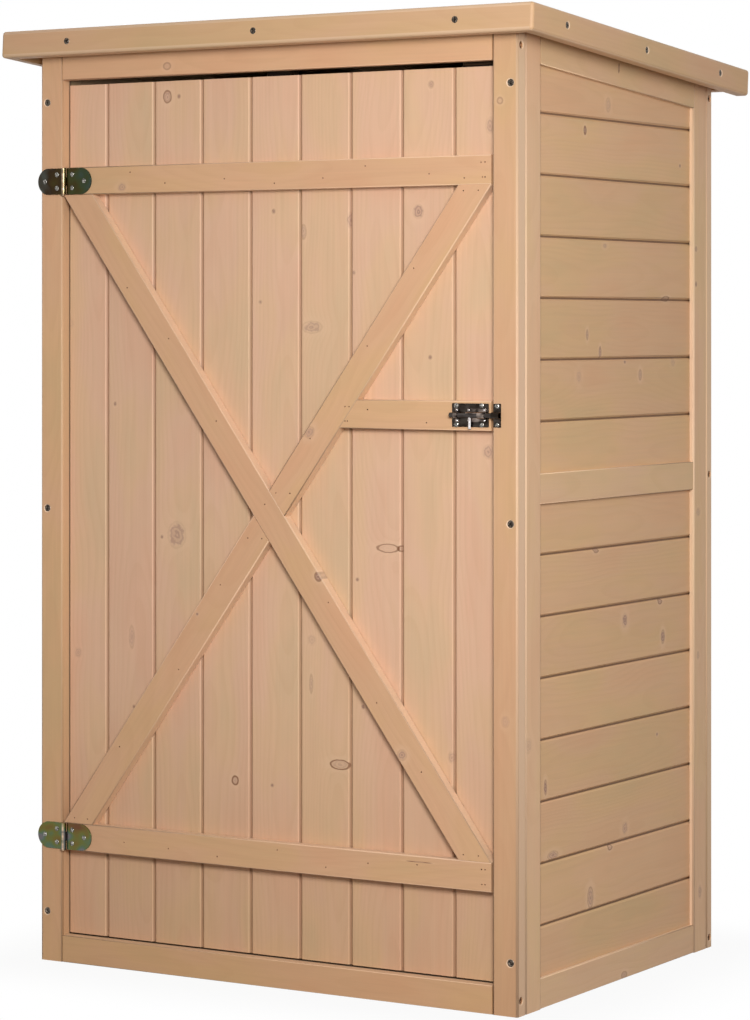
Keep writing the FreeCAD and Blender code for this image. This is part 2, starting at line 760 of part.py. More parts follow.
def make_hinges():
    radius = s.leaf_height / 2
    third = s.leaf_height / 3
    gap = s.knuckle_gap / 2
    pins = []
    screws = {-1: [], 1: []}
    for place, middle in hinge_heights.items():
        outer_knuckles = [(middle - radius, middle - third / 2 - gap),
                          (middle + third / 2 + gap, middle + radius)]
        inner_knuckle = [(middle - third / 2 + gap, middle + third / 2 - gap)]
        make_leaf(f"{place}_hinge_frame_leaf", -1, middle, outer_knuckles)
        make_leaf(f"{place}_hinge_door_leaf", 1, middle, inner_knuckle)
        low = middle - radius
        rod = cylinder(f"{place}_pin_rod", s.pin_radius, "z", (low - s.knuckle_gap, middle + radius),
                       hinge_x, hinge_y)
        head = cone(f"{place}_pin_head", s.pin_radius, s.pin_head_radius, "z",
                    (low - s.knuckle_gap - s.pin_head_rise, low - s.knuckle_gap), hinge_x, hinge_y)
        pins.append(fuse(f"{place}_hinge_pin", rod, head))
        for side in screws:
            for number, (x, z) in enumerate(hinge_screw_places(side, middle), start=1):
                hand = "frame" if side < 0 else "door"
                screws[side].append(make_screw(f"{place}_{hand}_screw_{number}", x, z, front - s.leaf_thick))
    keep("hinge_pins", *pins)
    keep("hinge_frame_screws", *screws[-1])
    keep("hinge_door_screws", *screws[1])


# Barrel bolt

bolt_z = middle_ledge_low + s.ledge_width / 2 + s.bolt_rise
rod_y = front - s.bolt_sheet - s.rod_clearance - s.rod_radius
plate_right = door_half - s.bolt_inset
plate_left = plate_right - s.bolt_plate_width
keep_left = half - s.stile_width + s.keep_inset
guide_inside = s.rod_radius + s.rod_clearance
guide_outside = guide_inside + s.guide_sheet
knob_radius = guide_inside - s.guide_sheet - s.knob_gap


def make_guide(name, left, width, base, foot_width, *cuts):
    """An arch of sheet over the rod, with a foot above and below that lies on its plate."""
    across = (left, left + width)
    spread = guide_outside + foot_width
    arch = cylinder(f"{name}_arch", guide_outside, "x", across, rod_y, bolt_z)
    sides = box(f"{name}_sides", across, (rod_y, base), (bolt_z - guide_outside, bolt_z + guide_outside))
    foot = box(f"{name}_foot", across, (base - s.guide_sheet, base), (bolt_z - spread, bolt_z + spread))
    room = (left - OVER, left + width + OVER)
    bore = cylinder(f"{name}_bore", guide_inside, "x", room, rod_y, bolt_z)
    throat = box(f"{name}_throat", room, (rod_y, base + OVER), (bolt_z - guide_inside, bolt_z + guide_inside))
    behind = box(f"{name}_behind", room, (base, base + guide_outside),
                 (bolt_z - spread - OVER, bolt_z + spread + OVER))
    return take(name, fuse(f"{name}_blank", arch, sides, foot), bore, throat, behind, *cuts)


def make_bolt():
    sheet_front = front - s.bolt_sheet
    tall = (bolt_z - s.bolt_plate_height / 2, bolt_z + s.bolt_plate_height / 2)
    screw_rise = guide_outside + s.guide_foot + s.bolt_screw_gap + s.screw_head_radius
    door_screws = [(plate_left + place, bolt_z + screw_rise * side)
                   for place in (s.bolt_screw_near, s.bolt_screw_far) for side in (-1, 1)]
    keep_x = keep_left + s.keep_width / 2
    frame_screws = [(keep_x, bolt_z + s.keep_screw_rise * side) for side in (-1, 1)]

    def holes(name, places):
        return [cylinder(f"{name}_screw_hole_{number}", s.screw_radius + s.screw_hole_gap, "y",
                         (sheet_front - OVER, front + OVER), x, z)
                for number, (x, z) in enumerate(places, start=1)]

    plate = box("bolt_plate_blank", (plate_left, plate_right), (sheet_front, front), tall)
    keep("bolt_plate", take("bolt_plate", plate, *holes("bolt_plate", door_screws)))

    knob_x = plate_left + s.knob_place
    clear = knob_radius + s.knob_gap
    barrel_left = plate_left + s.barrel_place
    slot = box("bolt_barrel_slot", (barrel_left - OVER, knob_x + s.bolt_throw + clear),
               (sheet_front - s.guide_sheet, rod_y - s.knob_reach), (bolt_z - s.knob_reach, bolt_z + clear))
    strap = make_guide("bolt_strap", plate_left + s.strap_place, s.strap_width, sheet_front, s.guide_foot)
    barrel = make_guide("bolt_barrel", barrel_left, s.barrel_width, sheet_front, s.guide_foot, slot)
    keep("bolt_guides", strap, barrel)

    rod_run = (plate_left - s.rod_tail, keep_left - s.rod_short)
    keep("bolt_rod", cylinder("bolt_rod", s.rod_radius, "x", rod_run, rod_y, bolt_z))
    stem = cylinder("bolt_knob_stem", knob_radius, "z", (bolt_z - s.knob_reach, bolt_z), knob_x, rod_y)
    saddle = cylinder("bolt_knob_saddle", s.rod_radius + s.pin_clearance, "x",
                      (knob_x - clear, knob_x + clear), rod_y, bolt_z)
    keep("bolt_knob", take("bolt_knob", stem, saddle))

    keep_plate = box("bolt_keep_plate", (keep_left, keep_left + s.keep_width), (sheet_front, front), tall)
    hood = make_guide("bolt_keep_hood", keep_left, s.keep_width, sheet_front, 0)
    way = box("bolt_keep_way", (keep_left - OVER, keep_left + s.keep_width + OVER),
              (rod_y, rod_y + guide_inside), (bolt_z - guide_inside, bolt_z + guide_inside))
    blank = fuse("bolt_keep_blank", keep_plate, hood)
    keep("bolt_keep", take("bolt_keep", blank, way, *holes("bolt_keep", frame_screws)))
    keep("bolt_plate_screws", *[make_screw(f"bolt_plate_screw_{number}", x, z, sheet_front)
                                for number, (x, z) in enumerate(door_screws, start=1)])
    keep("bolt_keep_screws", *[make_screw(f"bolt_keep_screw_{number}", x, z, sheet_front)
                               for number, (x, z) in enumerate(frame_screws, start=1)])


def check_and_export():
    """Refuses a failed feature or a bad shape, then writes each node to its file."""
    doc.recompute()
    failed = [item.Name for item in doc.Objects if {"Invalid", "Error"} & set(item.State)]
    if failed:
        raise RuntimeError(f"failed objects: {failed}")
    for name, node in nodes.items():
        if node.Shape.isNull() or not node.Shape.isValid() or not node.Shape.Solids:
            raise RuntimeError(f"{name} has no valid shape")
    os.makedirs("parts", exist_ok=True)
    for name, node in nodes.items():
        node.Shape.exportStep(f"parts/{name}.step")
        print(f"{name}: {len(node.Shape.Solids)} solids, {node.Shape.Volume / 1000:.1f} cm3")


make_front_frame()
for hand, side in (("left", -1), ("right", 1)):
    make_side_panel(hand, side)
make_back_panel()
make_floor()
make_shelves()
make_roof()
make_door_boards()
make_ledges_and_braces()
make_hinges()
make_bolt()
check_and_export()
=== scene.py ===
"""The garden storage cabinet's looks: planed fir, roofing felt, plated steel, the studio and the camera.

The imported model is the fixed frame. Each piece is made again from its node's own mesh, with eased
edges and its own grain, and rides on the node's body.
"""

import json
import math
import random

import bmesh
import bpy
from bpy.props import FloatProperty, FloatVectorProperty, PointerProperty
from mathutils import Matrix, Vector

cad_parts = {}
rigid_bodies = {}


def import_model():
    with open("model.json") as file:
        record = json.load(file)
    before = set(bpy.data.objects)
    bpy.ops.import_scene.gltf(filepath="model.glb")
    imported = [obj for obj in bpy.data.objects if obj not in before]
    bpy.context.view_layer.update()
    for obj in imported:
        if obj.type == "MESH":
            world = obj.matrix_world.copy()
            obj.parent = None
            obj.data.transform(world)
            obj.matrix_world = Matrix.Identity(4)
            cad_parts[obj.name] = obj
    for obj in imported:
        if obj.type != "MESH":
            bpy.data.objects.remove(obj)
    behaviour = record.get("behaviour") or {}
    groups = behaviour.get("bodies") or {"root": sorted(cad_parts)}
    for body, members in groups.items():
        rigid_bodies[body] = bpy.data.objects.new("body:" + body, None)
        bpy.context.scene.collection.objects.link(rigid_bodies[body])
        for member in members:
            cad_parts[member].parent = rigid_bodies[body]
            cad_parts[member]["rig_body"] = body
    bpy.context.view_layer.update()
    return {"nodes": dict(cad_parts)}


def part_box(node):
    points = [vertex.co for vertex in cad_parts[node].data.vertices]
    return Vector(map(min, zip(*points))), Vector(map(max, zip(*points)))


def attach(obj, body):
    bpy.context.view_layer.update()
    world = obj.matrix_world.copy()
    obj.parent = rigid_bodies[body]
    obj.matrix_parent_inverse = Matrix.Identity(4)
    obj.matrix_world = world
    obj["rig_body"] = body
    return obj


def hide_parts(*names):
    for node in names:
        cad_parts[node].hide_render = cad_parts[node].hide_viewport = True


bl_info = {
    "name": "Garden storage cabinet",
    "version": (1, 0, 0),
    "blender": (4, 5, 0),
    "location": "View3D > Sidebar > Cabinet",
    "description": "Dresses the packed cabinet in planed fir, felt and plated steel",
    "category": "Object",
}

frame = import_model()
nodes = frame["nodes"]

# Lengths are in metres, angles in radians, unless a name or a comment says otherwise.
MM = 0.001
FORWARD, BACKWARD = Vector((0, -1, 0)), Vector((0, 1, 0))

# Reading a node's mesh: vertices that are one, faces that are one plane, directions that are one, normals
# that face along an axis, points in one plane, and the angles of edges that are rounded or shaded sharp.
WELD = 0.00001
FLAT_ANGLE = math.radians(0.5)
ALONG_GRAIN = 0.9995
END_GRAIN = 0.7
NEAR_PLANE = 0.00002
BEVELLED_ANGLE = math.radians(50)
SHARP_ANGLE = math.radians(52)

# The wood: the depth of a joint's vee, how many knots one board can show and how far off it one still counts,
# how pale an eased edge and a narrow side are made, rubbed and painted with highlight, and a screw pit's
# rubbed rim, and the height where the painted shade towards the ground starts.
VEE = 0.0024
KNOT_PLACES = 6
KNOT_MARGIN = 0.001
ARRIS_WEAR_AND_HIGHLIGHT = 0.25
SIDE_WEAR_AND_HIGHLIGHT = 0.35
PIT_WEAR = 0.6
GROUND_SHADE_HEIGHT = 0.45

# A screw's pit: its rim's depth, and how much wider than the head its flare and its wall are. Then how much
# of its radius a domed head rises.
PIT_RIM = 0.0005
PIT_FLARE = 1.24
PIT_WALL = 1.04
HEAD_DOME = 0.26

# The hinges and the bolt, as the part's source has them.
KNUCKLE = 0.00325
GUIDE_OUTSIDE = 0.0041
GUIDE_SHEET = 0.001
STRAP_MIDDLE = 0.0025
BARREL_RIVET = 0.0179
BARREL_END_RIVET = 0.002

# Nails: how far the last pair is from a ledge's or a brace's end and the others at least, and how far one
# strays from the middle of its board.
END_NAILS = 0.008
NAIL_CLEAR = 0.01
NAIL_STRAY = 0.012
DOOR_RAILS = ("top_ledge", "middle_ledge", "bottom_ledge", "long_brace", "upper_brace", "lower_brace")

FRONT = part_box("front_stile_left")[0].y
FRAME_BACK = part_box("front_stile_left")[1].y
DOOR_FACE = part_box("door_boards")[0].y
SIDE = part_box("front_stile_right")[1].x
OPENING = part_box("front_stile_right")[0].x
FASCIA_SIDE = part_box("roof_fascia_right")[1].x
FASCIA_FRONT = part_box("roof_fascia_front")[0].y
FASCIA_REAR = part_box("roof_fascia_rear")[1].y
PIN_PLACE = (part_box("hinge_pins")[0].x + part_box("hinge_pins")[1].x) / 2

# Knots: across and up in mm (on a side, across is from the front plane), half length along the
# grain, half width, then how dark the rim is and how full the core.
DOOR_KNOTS = (
    (-156, 1064, 7, 5.5, 0.8, 0.5), (-139, 1064, 2.4, 2, 0.3, 0.8), (-142, 532, 16, 13, 0.1, 0.5),
    (-164, 529, 2, 1.8, 0.2, 0.8), (-209, 405, 13, 4, 0.2, 0.35), (-234, 690, 2.4, 2, 0.2, 0.8),
    (-206, 320, 2, 2, 0.2, 0.8), (-303, 789, 7, 6, 0.05, 0.2), (-290, 382, 6, 6, 0.05, 0.3),
    (-57, 240, 5, 4.2, 1, 0.4), (-21, 814, 2, 2, 0.2, 0.7), (-2, 922, 2.4, 2.2, 0.3, 0.8),
    (-4, 238, 2, 2, 0.2, 0.8), (40, 897, 8, 4, 0.3, 0.4), (52, 784, 7, 14, 0.15, 0.45),
    (91, 269, 5.5, 13, 1, 0.35), (105, 910, 9, 4, 0.1, 0.5), (52, 414, 6, 6, 0.05, 0.25),
    (51, 362, 10, 2.5, 0.3, 0.4), (110, 848, 2.2, 2, 0.2, 0.7), (157, 526, 4.8, 14, 0.8, 0.15),
    (123, 339, 2.2, 2, 0.2, 0.8), (115, 488, 2, 2, 0.2, 0.8), (175, 526, 3, 4, 0.9, 0.3),
    (198, 918, 8, 7, 0.1, 0.6), (215, 1065, 4, 3.5, 0.2, 0.5), (214, 749, 2.2, 2, 0.3, 0.8),
    (243, 288, 6, 5, 0.1, 0.4), (293, 1015, 9, 5, 0.1, 0.45), (291, 641, 8, 7, 0.1, 0.5),
)
SIDE_KNOTS = (
    (236, 1050, 6, 8, 0.2, 0.35), (176.5, 1016.5, 3, 4.5, 1, 0.9), (431, 985, 2.4, 2, 0.2, 0.8),
    (228, 881, 5, 3, 0.1, 0.5), (182, 775, 3, 5.5, 0.4, 0.6), (215, 754, 3, 6, 0.6, 0.7),
    (280, 742, 2.6, 2, 0.2, 0.9), (161, 726, 6, 8, 0.05, 0.3), (321, 726, 4, 6, 0.4, 0.5),
    (411, 741, 6, 6, 0.05, 0.3), (280, 430, 7, 8, 0.1, 0.75), (383, 402, 5, 8, 0.4, 0.8),
    (367, 283, 2.6, 2, 0.2, 0.8), (78, 252, 3.5, 8, 0.5, 0.9), (96, 171, 12, 5, 0.3, 0.6),
    (280, 179, 7, 7, 0.1, 0.5), (190, 108, 7, 12, 0.5, 0.6), (241, 161, 5, 3, 0.8, 0.4),
    (205, 519, 6, 3, 0.7, 0.6), (375, 446, 5, 3, 0.8, 0.6), (392, 819, 9, 3, 0.8, 0.4),
)
KNOTS = {
    "door_boards": DOOR_KNOTS,
    "top_ledge": ((-214, 955, 6, 5, 0.1, 0.5),),
    "bottom_ledge": ((207, 166, 12, 0.5, 1, 0),),
    "upper_brace": ((57, 660, 7, 6, 0.2, 0.5),),
    "long_brace": ((69, 490, 5, 4, 0.8, 0.8), (184, 288, 6, 6, 0.2, 0.6)),
    "front_stile_right": ((321, 335, 6, 5, 0.1, 0.25), (314, 1042, 3.4, 3.4, 0.5, 0.25)),
    "front_header": ((-147, 1100, 5, 4, 0.5, 0.3),),
    "right_upper_boards": SIDE_KNOTS,
    "right_lower_boards": SIDE_KNOTS,
    "right_top_rail": ((252, 1095, 1.6, 4.5, 0.9, 0.4),),
    "right_rear_stile": (
        (464, 882, 3, 3, 0.3, 0.6), (464, 838, 3, 2.5, 0.3, 0.8), (470, 552, 5, 6, 0.1, 0.4),
        (470, 372, 5, 4, 0.1, 0.4), (475, 74, 8, 5, 0.1, 0.5),
    ),
    "right_bottom_rail": ((268, 4, 7, 4, 0.5, 0.5),),
}

# Screw places, in mm: up the front stiles, then (from the front plane, up) on a side's edges.
STILE_SCREWS = (1062, 560, 61)
STILE_SCREW_SIDE = 327.5
EDGE_SCREWS = {"front": ((8.9, 1105), (8.2, 17.9)), "back": ((503, 1073), (503, 598), (503, 12.5))}
FRONT_FASCIA_SCREWS = ((-274, 1133.7), (-1.5, 1133.7), (273, 1133.7))
SIDE_FASCIA_SCREWS = ((51.5, 1129), (254, 1115), (458, 1101))
REAR_FASCIA_RISE = 1096

# How much lighter or darker single pieces are than their kind, in steps.
TONES = {"front_stile_left": 1.4, "front_stile_right": -1.6, "right_top_rail": -1.5}

# For each kind of wood: how far it is darkened towards the ground, which is painted shade, and how much of
# the upper part of a joint's vee is left untinted, with the colour of the tint below, grime and painted
# shade. Then its specular level, and how dark the foot of its joints is, grime and painted shade.
GROUND_SHADE = {"door": 1, "frame": 0.6}
VEE_DIRT_AND_SHADE = {"door": (0.38, (0.2, 0.085, 0.035))}
OTHER_VEE_DIRT_AND_SHADE = (0.72, (0.11, 0.045, 0.016))
# The door stops' low specular level keeps them near black, part of their painted shade.
SHINE = {"stop": 0.03}
OTHER_SHINE = 0.35
DOOR_JOINT = 0.48
OTHER_JOINT = 0.85

# What the fir's base colour is mixed with, and the last two, which it is multiplied by. The pale colour is
# rubbed wood, and on eased edges and narrow sides painted highlight too; the door's gap, the darkening
# towards the ground and the reveal are painted shade.
STAINS_AND_PAINTED_LIGHT = {
    "late wood": (0.47, 0.25, 0.12), "near a knot": (0.74, 0.5, 0.33), "knot": (0.38, 0.225, 0.175),
    "knot's heart": (0.17, 0.08, 0.05), "knot's rim": (0.2, 0.085, 0.04), "worn": (0.85, 0.67, 0.5),
    "door's gap": (0.04, 0.02, 0.01), "splashed": (0.86, 0.83, 0.76), "reveal": (0.8, 0.74, 0.66),
}

# The bolt's platings, each with its dark and light bands and its least roughness, and which part has which.
# The near-black sheet and rod are a painted reflection of a dark room, and the light bands and the bright
# knob and rivets partly paint glints.
PLATINGS_AND_REFLECTIONS = {
    "sheet": ((0.024, 0.018, 0.014), (0.06, 0.05, 0.042), 0.1),
    "guide": ((0.032, 0.025, 0.021), (0.34, 0.27, 0.23), 0.08),
    "rod": ((0.045, 0.036, 0.032), (0.09, 0.08, 0.075), 0.05),
    "knob": ((0.55, 0.5, 0.48), (0.85, 0.82, 0.82), 0.08),
}
BOLT = {"plate": "sheet", "guides": "guide", "rod": "rod", "knob": "knob", "keep": "sheet"}

# The studio. Each lamp's name, azimuth and elevation in degrees, distance from what they aim at, and width.
LAMPS = (("key", 35, 14, 2.65, 0.8), ("fill", 75, 10, 4.5, 2.0), ("rear", 225, 20, 4.5, 2.0))
LAMP_AIM = Vector((0, 0, 0.6))
FLOOR_GAP = 0.0002
FLOOR_REACH = 9
SHADOW_ROOM = (0.34, 0.26, 0)
SHADOW_FADE = 0.2
FLOOR_LIGHT = 0.94
CAMERA_PLACE = (2.1511, -3.5538, 0.7832)
CAMERA_TURN = math.radians(31.27)
CAMERA_LENS = 116.98
CAMERA_SHIFT = -0.1786
CAMERA_REACH = 60


def colour_setting(name, description, default):
    return FloatVectorProperty(
        name=name, description=description, default=default, subtype="COLOR", min=0, max=1
    )


def length_setting(name, description, default, least=0.0001):
    return FloatProperty(
        name=name, description=description, default=default, min=least, subtype="DISTANCE", unit="LENGTH"
    )


def power_setting(name, description, default):
    return FloatProperty(name=name, description=description, default=default, min=0, unit="POWER")


class WoodSettings(bpy.types.PropertyGroup):
    """Colours of the fir, and how far its edges are eased."""

    door_colour: colour_setting("Door boards", "Base colour of the door's boards", (0.672, 0.434, 0.287))
    frame_colour: colour_setting("Frames", "Base colour of the stiles and rails", (0.64, 0.39, 0.222))
    side_colour: colour_setting(
        "Side frames", "Base colour of the sides' stiles and rails", (0.665, 0.437, 0.26)
    )
    # The door stops' near-black colour is painted shade: it makes the gap above the door look black.
    stop_colour: colour_setting(
        "Door stops", "Base colour of the dark blocks behind the door's top edge", (0.012, 0.008, 0.006)
    )
    ledge_colour: colour_setting(
        "Ledges and braces", "Base colour of the door's ledges and braces", (0.63, 0.38, 0.218)
    )
    cladding_colour: colour_setting(
        "Cladding", "Base colour of the side, back, roof and inside boards", (0.625, 0.393, 0.219)
    )
    # The fascias are darker than the frames as painted shade, offsetting the extra room light that reaches
    # the roof's edge.
    fascia_colour: colour_setting(
        "Fascias", "Base colour of the boards round the roof's edge", (0.575, 0.36, 0.205)
    )
    ring_spacing: length_setting("Ring spacing", "Distance between two year rings", 0.0034, 0.001)
    stile_arris: length_setting("Stile arris", "Rounding of the stiles' long edges", 0.0025)
    rail_arris: length_setting(
        "Rail arris", "Rounding of the rails', battens' and cleats' long edges", 0.0008
    )
    ledge_arris: length_setting("Ledge arris", "Rounding of the ledges' and braces' long edges", 0.0012)
    fascia_arris: length_setting("Fascia arris", "Rounding of the fascias' long edges", 0.002)
    board_arris: length_setting("Board arris", "Rounding of the boards' long edges", 0.0004)


class SteelSettings(bpy.types.PropertyGroup):
    """Colours of the plated steel, and how far its edges are eased."""

    screw_colour: colour_setting("Bright zinc", "Colour of the hinge and bolt screws", (0.22, 0.215, 0.2))
    frame_screw_colour: colour_setting(
        "Dull zinc", "Colour of the front frame's and the fascias' screws", (0.1, 0.083, 0.068)
    )
    # The brown partly paints the shade in the deep pits of the screws in the sides' edges; the nails share
    # the colour.
    edge_screw_colour: colour_setting(
        "Brown zinc", "Colour of the screws in the sides' edges, and of the nails", (0.16, 0.085, 0.045)
    )
    edge: length_setting("Steel edge", "Rounding of the pressed steel's edges", 0.0003, 0.00005)


class FastenerSettings(bpy.types.PropertyGroup):
    """Sizes of the screws and nails that hold the wood."""

    frame_screw_radius: length_setting("Frame screw head", "Radius of a frame screw's head", 0.0042, 0.001)
    fascia_screw_radius: length_setting(
        "Fascia screw head", "Radius of a fascia screw's head", 0.004, 0.001
    )
    nail_radius: length_setting("Nail head", "Radius of a nail's head", 0.0009, 0.0003)
    sink: length_setting(
        "Screw sink", "How far a front or fascia screw's head lies under the wood's face", 0.0006, 0
    )
    edge_sink: length_setting(
        "Edge screw sink", "How far a screw's head in a side's edge lies under the wood's face", 0.0016, 0
    )
    rivet_radius: length_setting(
        "Rivet", "Radius of the rivets that hold the bolt's guides on its plate", 0.0014, 0.0003
    )


class StageSettings(bpy.types.PropertyGroup):
    """The studio's light levels, and the floor."""

    floor_colour: colour_setting("Floor", "Colour of the floor", (0.26, 0.22, 0.185))
    key_power: power_setting("Key light", "Power of the large soft lamp in front on the right", 53)
    fill_power: power_setting("Fill light", "Power of the soft lamp on the right", 16)
    rear_power: power_setting("Rear light", "Power of the soft lamp behind on the left", 85)
    ambient: FloatProperty(
        name="Room light", description="Strength of the even light from all round", default=0.3, min=0
    )


SETTINGS = {
    "cabinet_wood": WoodSettings,
    "cabinet_steel": SteelSettings,
    "cabinet_fasteners": FastenerSettings,
    "cabinet_stage": StageSettings,
}


class Value:
    """A node's output in a web. Arithmetic on it adds the nodes that work it out."""

    def __init__(self, web, socket):
        self.web, self.socket = web, socket

    def __abs__(self):
        return self.web.maths("ABSOLUTE", self)

    def __add__(self, other):
        return self.web.maths("ADD", self, other)

    def __radd__(self, other):
        return self.web.maths("ADD", other, self)

    def __sub__(self, other):
        return self.web.maths("SUBTRACT", self, other)

    def __rsub__(self, other):
        return self.web.maths("SUBTRACT", other, self)

    def __mul__(self, other):
        return self.web.maths("MULTIPLY", self, other)

    def __truediv__(self, other):
        return self.web.maths("DIVIDE", self, other)


class Web:
    """A material's or group's nodes, each added and joined in one call."""

    def __init__(self, tree):
        self.tree = tree

    def join(self, node, joined):
        """Gives each input that is named its value, or the output that feeds it."""
        for place, value in joined.items():
            socket = node.inputs[place]
            if isinstance(value, Value):
                self.tree.links.new(value.socket, socket)
            else:
                socket.default_value = (*value, 1) if socket.type == "RGBA" else value

    def add(self, kind, joined=None, output=0, **settings):
        """A new node's output."""
        node = self.tree.nodes.new(f"ShaderNode{kind}")
        for name, value in settings.items():
            setattr(node, name, value)
        self.join(node, joined or {})
        return Value(self, node.outputs[output])

    def maths(self, operation, *values, clamp=False):
        return self.add("Math", dict(enumerate(values)), operation=operation, use_clamp=clamp)

    def vectors(self, operation, *values, output=0):
        return self.add("VectorMath", dict(enumerate(values)), output, operation=operation)

    def parts(self, vector):
        """A vector's three numbers."""
        node = self.add("SeparateXYZ", {0: vector}).socket.node
        return [Value(self, output) for output in node.outputs]

    def rise(self, value, low, high):
        """0 below low, 1 above high, smooth between."""
        return self.add("MapRange", {0: value, 1: low, 2: high}, interpolation_type="SMOOTHSTEP")

    def fall(self, value, low, high):
        return 1 - self.rise(value, low, high)

    def between(self, value, first, last, low=0, high=1):
        """first where the value is low, last where it's high, even between."""
        return self.add("MapRange", {0: value, 1: low, 2: high, 3: first, 4: last})

    def tint(self, share, first, second, kind="MIX"):
        return self.add("Mix", {0: share, 6: first, 7: second}, 2, data_type="RGBA", blend_type=kind)

    def read(self, name, output="Vector"):
        """What the mesh stores under a name."""
        return self.add("Attribute", None, output, attribute_name=name)

    def place(self):
        """The point of the part that is shaded."""
        return self.add("TexCoord", None, "Object")

    def noise(self, place, scale, detail=2.0, output=0):
        return self.add("TexNoise", {"Vector": place, "Scale": scale, "Detail": detail}, output)

    def streaks(self, place, scales, detail=2.0, output=0):
        """Noise with its own scale along each axis."""
        return self.noise(self.vectors("MULTIPLY", place, scales), 1, detail, output)

    def ramp(self, value, *stops):
        """A colour ramp through (position, colour) stops."""
        ramp = self.add("ValToRGB", {0: value})
        elements = ramp.socket.node.color_ramp.elements
        while len(elements) < len(stops):
            elements.new(0.5)
        for element, (position, colour) in zip(elements, stops):
            element.position = position
            element.color = (*colour, 1)
        return ramp

    def bump(self, height, strength, distance):
        return self.add("Bump", {"Height": height, "Strength": strength, "Distance": distance})


def finish(paint):
    """Turns paint, which joins a surface shader in a new material's web, into a maker of named materials.

    A name that is there already isn't made again.
    """

    def make(name, *looks):
        material = bpy.data.materials.get(name)
        if material is None:
            material = bpy.data.materials.new(name)
            material.use_nodes = True
            tree = material.node_tree
            paint(Web(tree), tree.nodes["Principled BSDF"], *looks)
        return material

    return make


def knot_group():
    """The node group that draws one knot from its place and look in the board."""
    if "knot" in bpy.data.node_groups:
        return bpy.data.node_groups["knot"]
    tree = bpy.data.node_groups.new("knot", "ShaderNodeTree")
    for label, kind in (("Grain", "Vector"), ("Place", "Vector"), ("Look", "Vector"), ("Wobble", "Float")):
        tree.interface.new_socket(label, in_out="INPUT", socket_type=f"NodeSocket{kind}")
    for label in ("Core", "Rim", "Halo", "Swirl"):
        tree.interface.new_socket(label, in_out="OUTPUT", socket_type="NodeSocketFloat")
    web = Web(tree)
    given = tree.nodes.new("NodeGroupInput").outputs
    grain_along, _, grain_across = web.parts(Value(web, given["Grain"]))
    knot_along, knot_across, half_length = web.parts(Value(web, given["Place"]))
    aspect, rim_share, core_share = web.parts(Value(web, given["Look"]))
    wobble = Value(web, given["Wobble"])
    half_width = half_length * aspect
    along = (grain_along - knot_along) / half_length
    across = (grain_across - knot_across) / half_width
    reach = web.maths("SQRT", along * along + across * across)
    away = reach + wobble
    rings = 0.72 + web.maths("SINE", away * 12) * 0.28
    core = web.fall(away, 0.5, 1.12) * core_share * rings
    off_rim = abs(reach + wobble * 0.3 - 1) * web.maths("SQRT", half_length * half_width)
    rim = web.fall(off_rim, 0.0004, 0.0016) * rim_share
    halo = web.fall(away, 1, 2.6) * web.maths("ADD", rim_share, core_share, clamp=True)
    swirl = half_width / (1 + reach * reach)
    web.join(tree.nodes.new("NodeGroupOutput"), {"Core": core, "Rim": rim, "Halo": halo, "Swirl": swirl})
    return tree


def drawn_knots(web, grain):
    """The core, rim and halo of all the board's knots, and how far they push the year rings aside."""
    wobble = (web.streaks(grain, (200, 200, 200), 3) - 0.5) * 0.9
    totals = [0, 0, 0, 0]
    for number in range(1, KNOT_PLACES + 1):
        knot = web.tree.nodes.new("ShaderNodeGroup")
        knot.node_tree = knot_group()
        place, look = web.read(f"knot_{number}"), web.read(f"knot_{number}_look")
        web.join(knot, {"Grain": grain, "Place": place, "Look": look, "Wobble": wobble})
        totals = [total + Value(web, output) for total, output in zip(totals, knot.outputs)]
    return totals


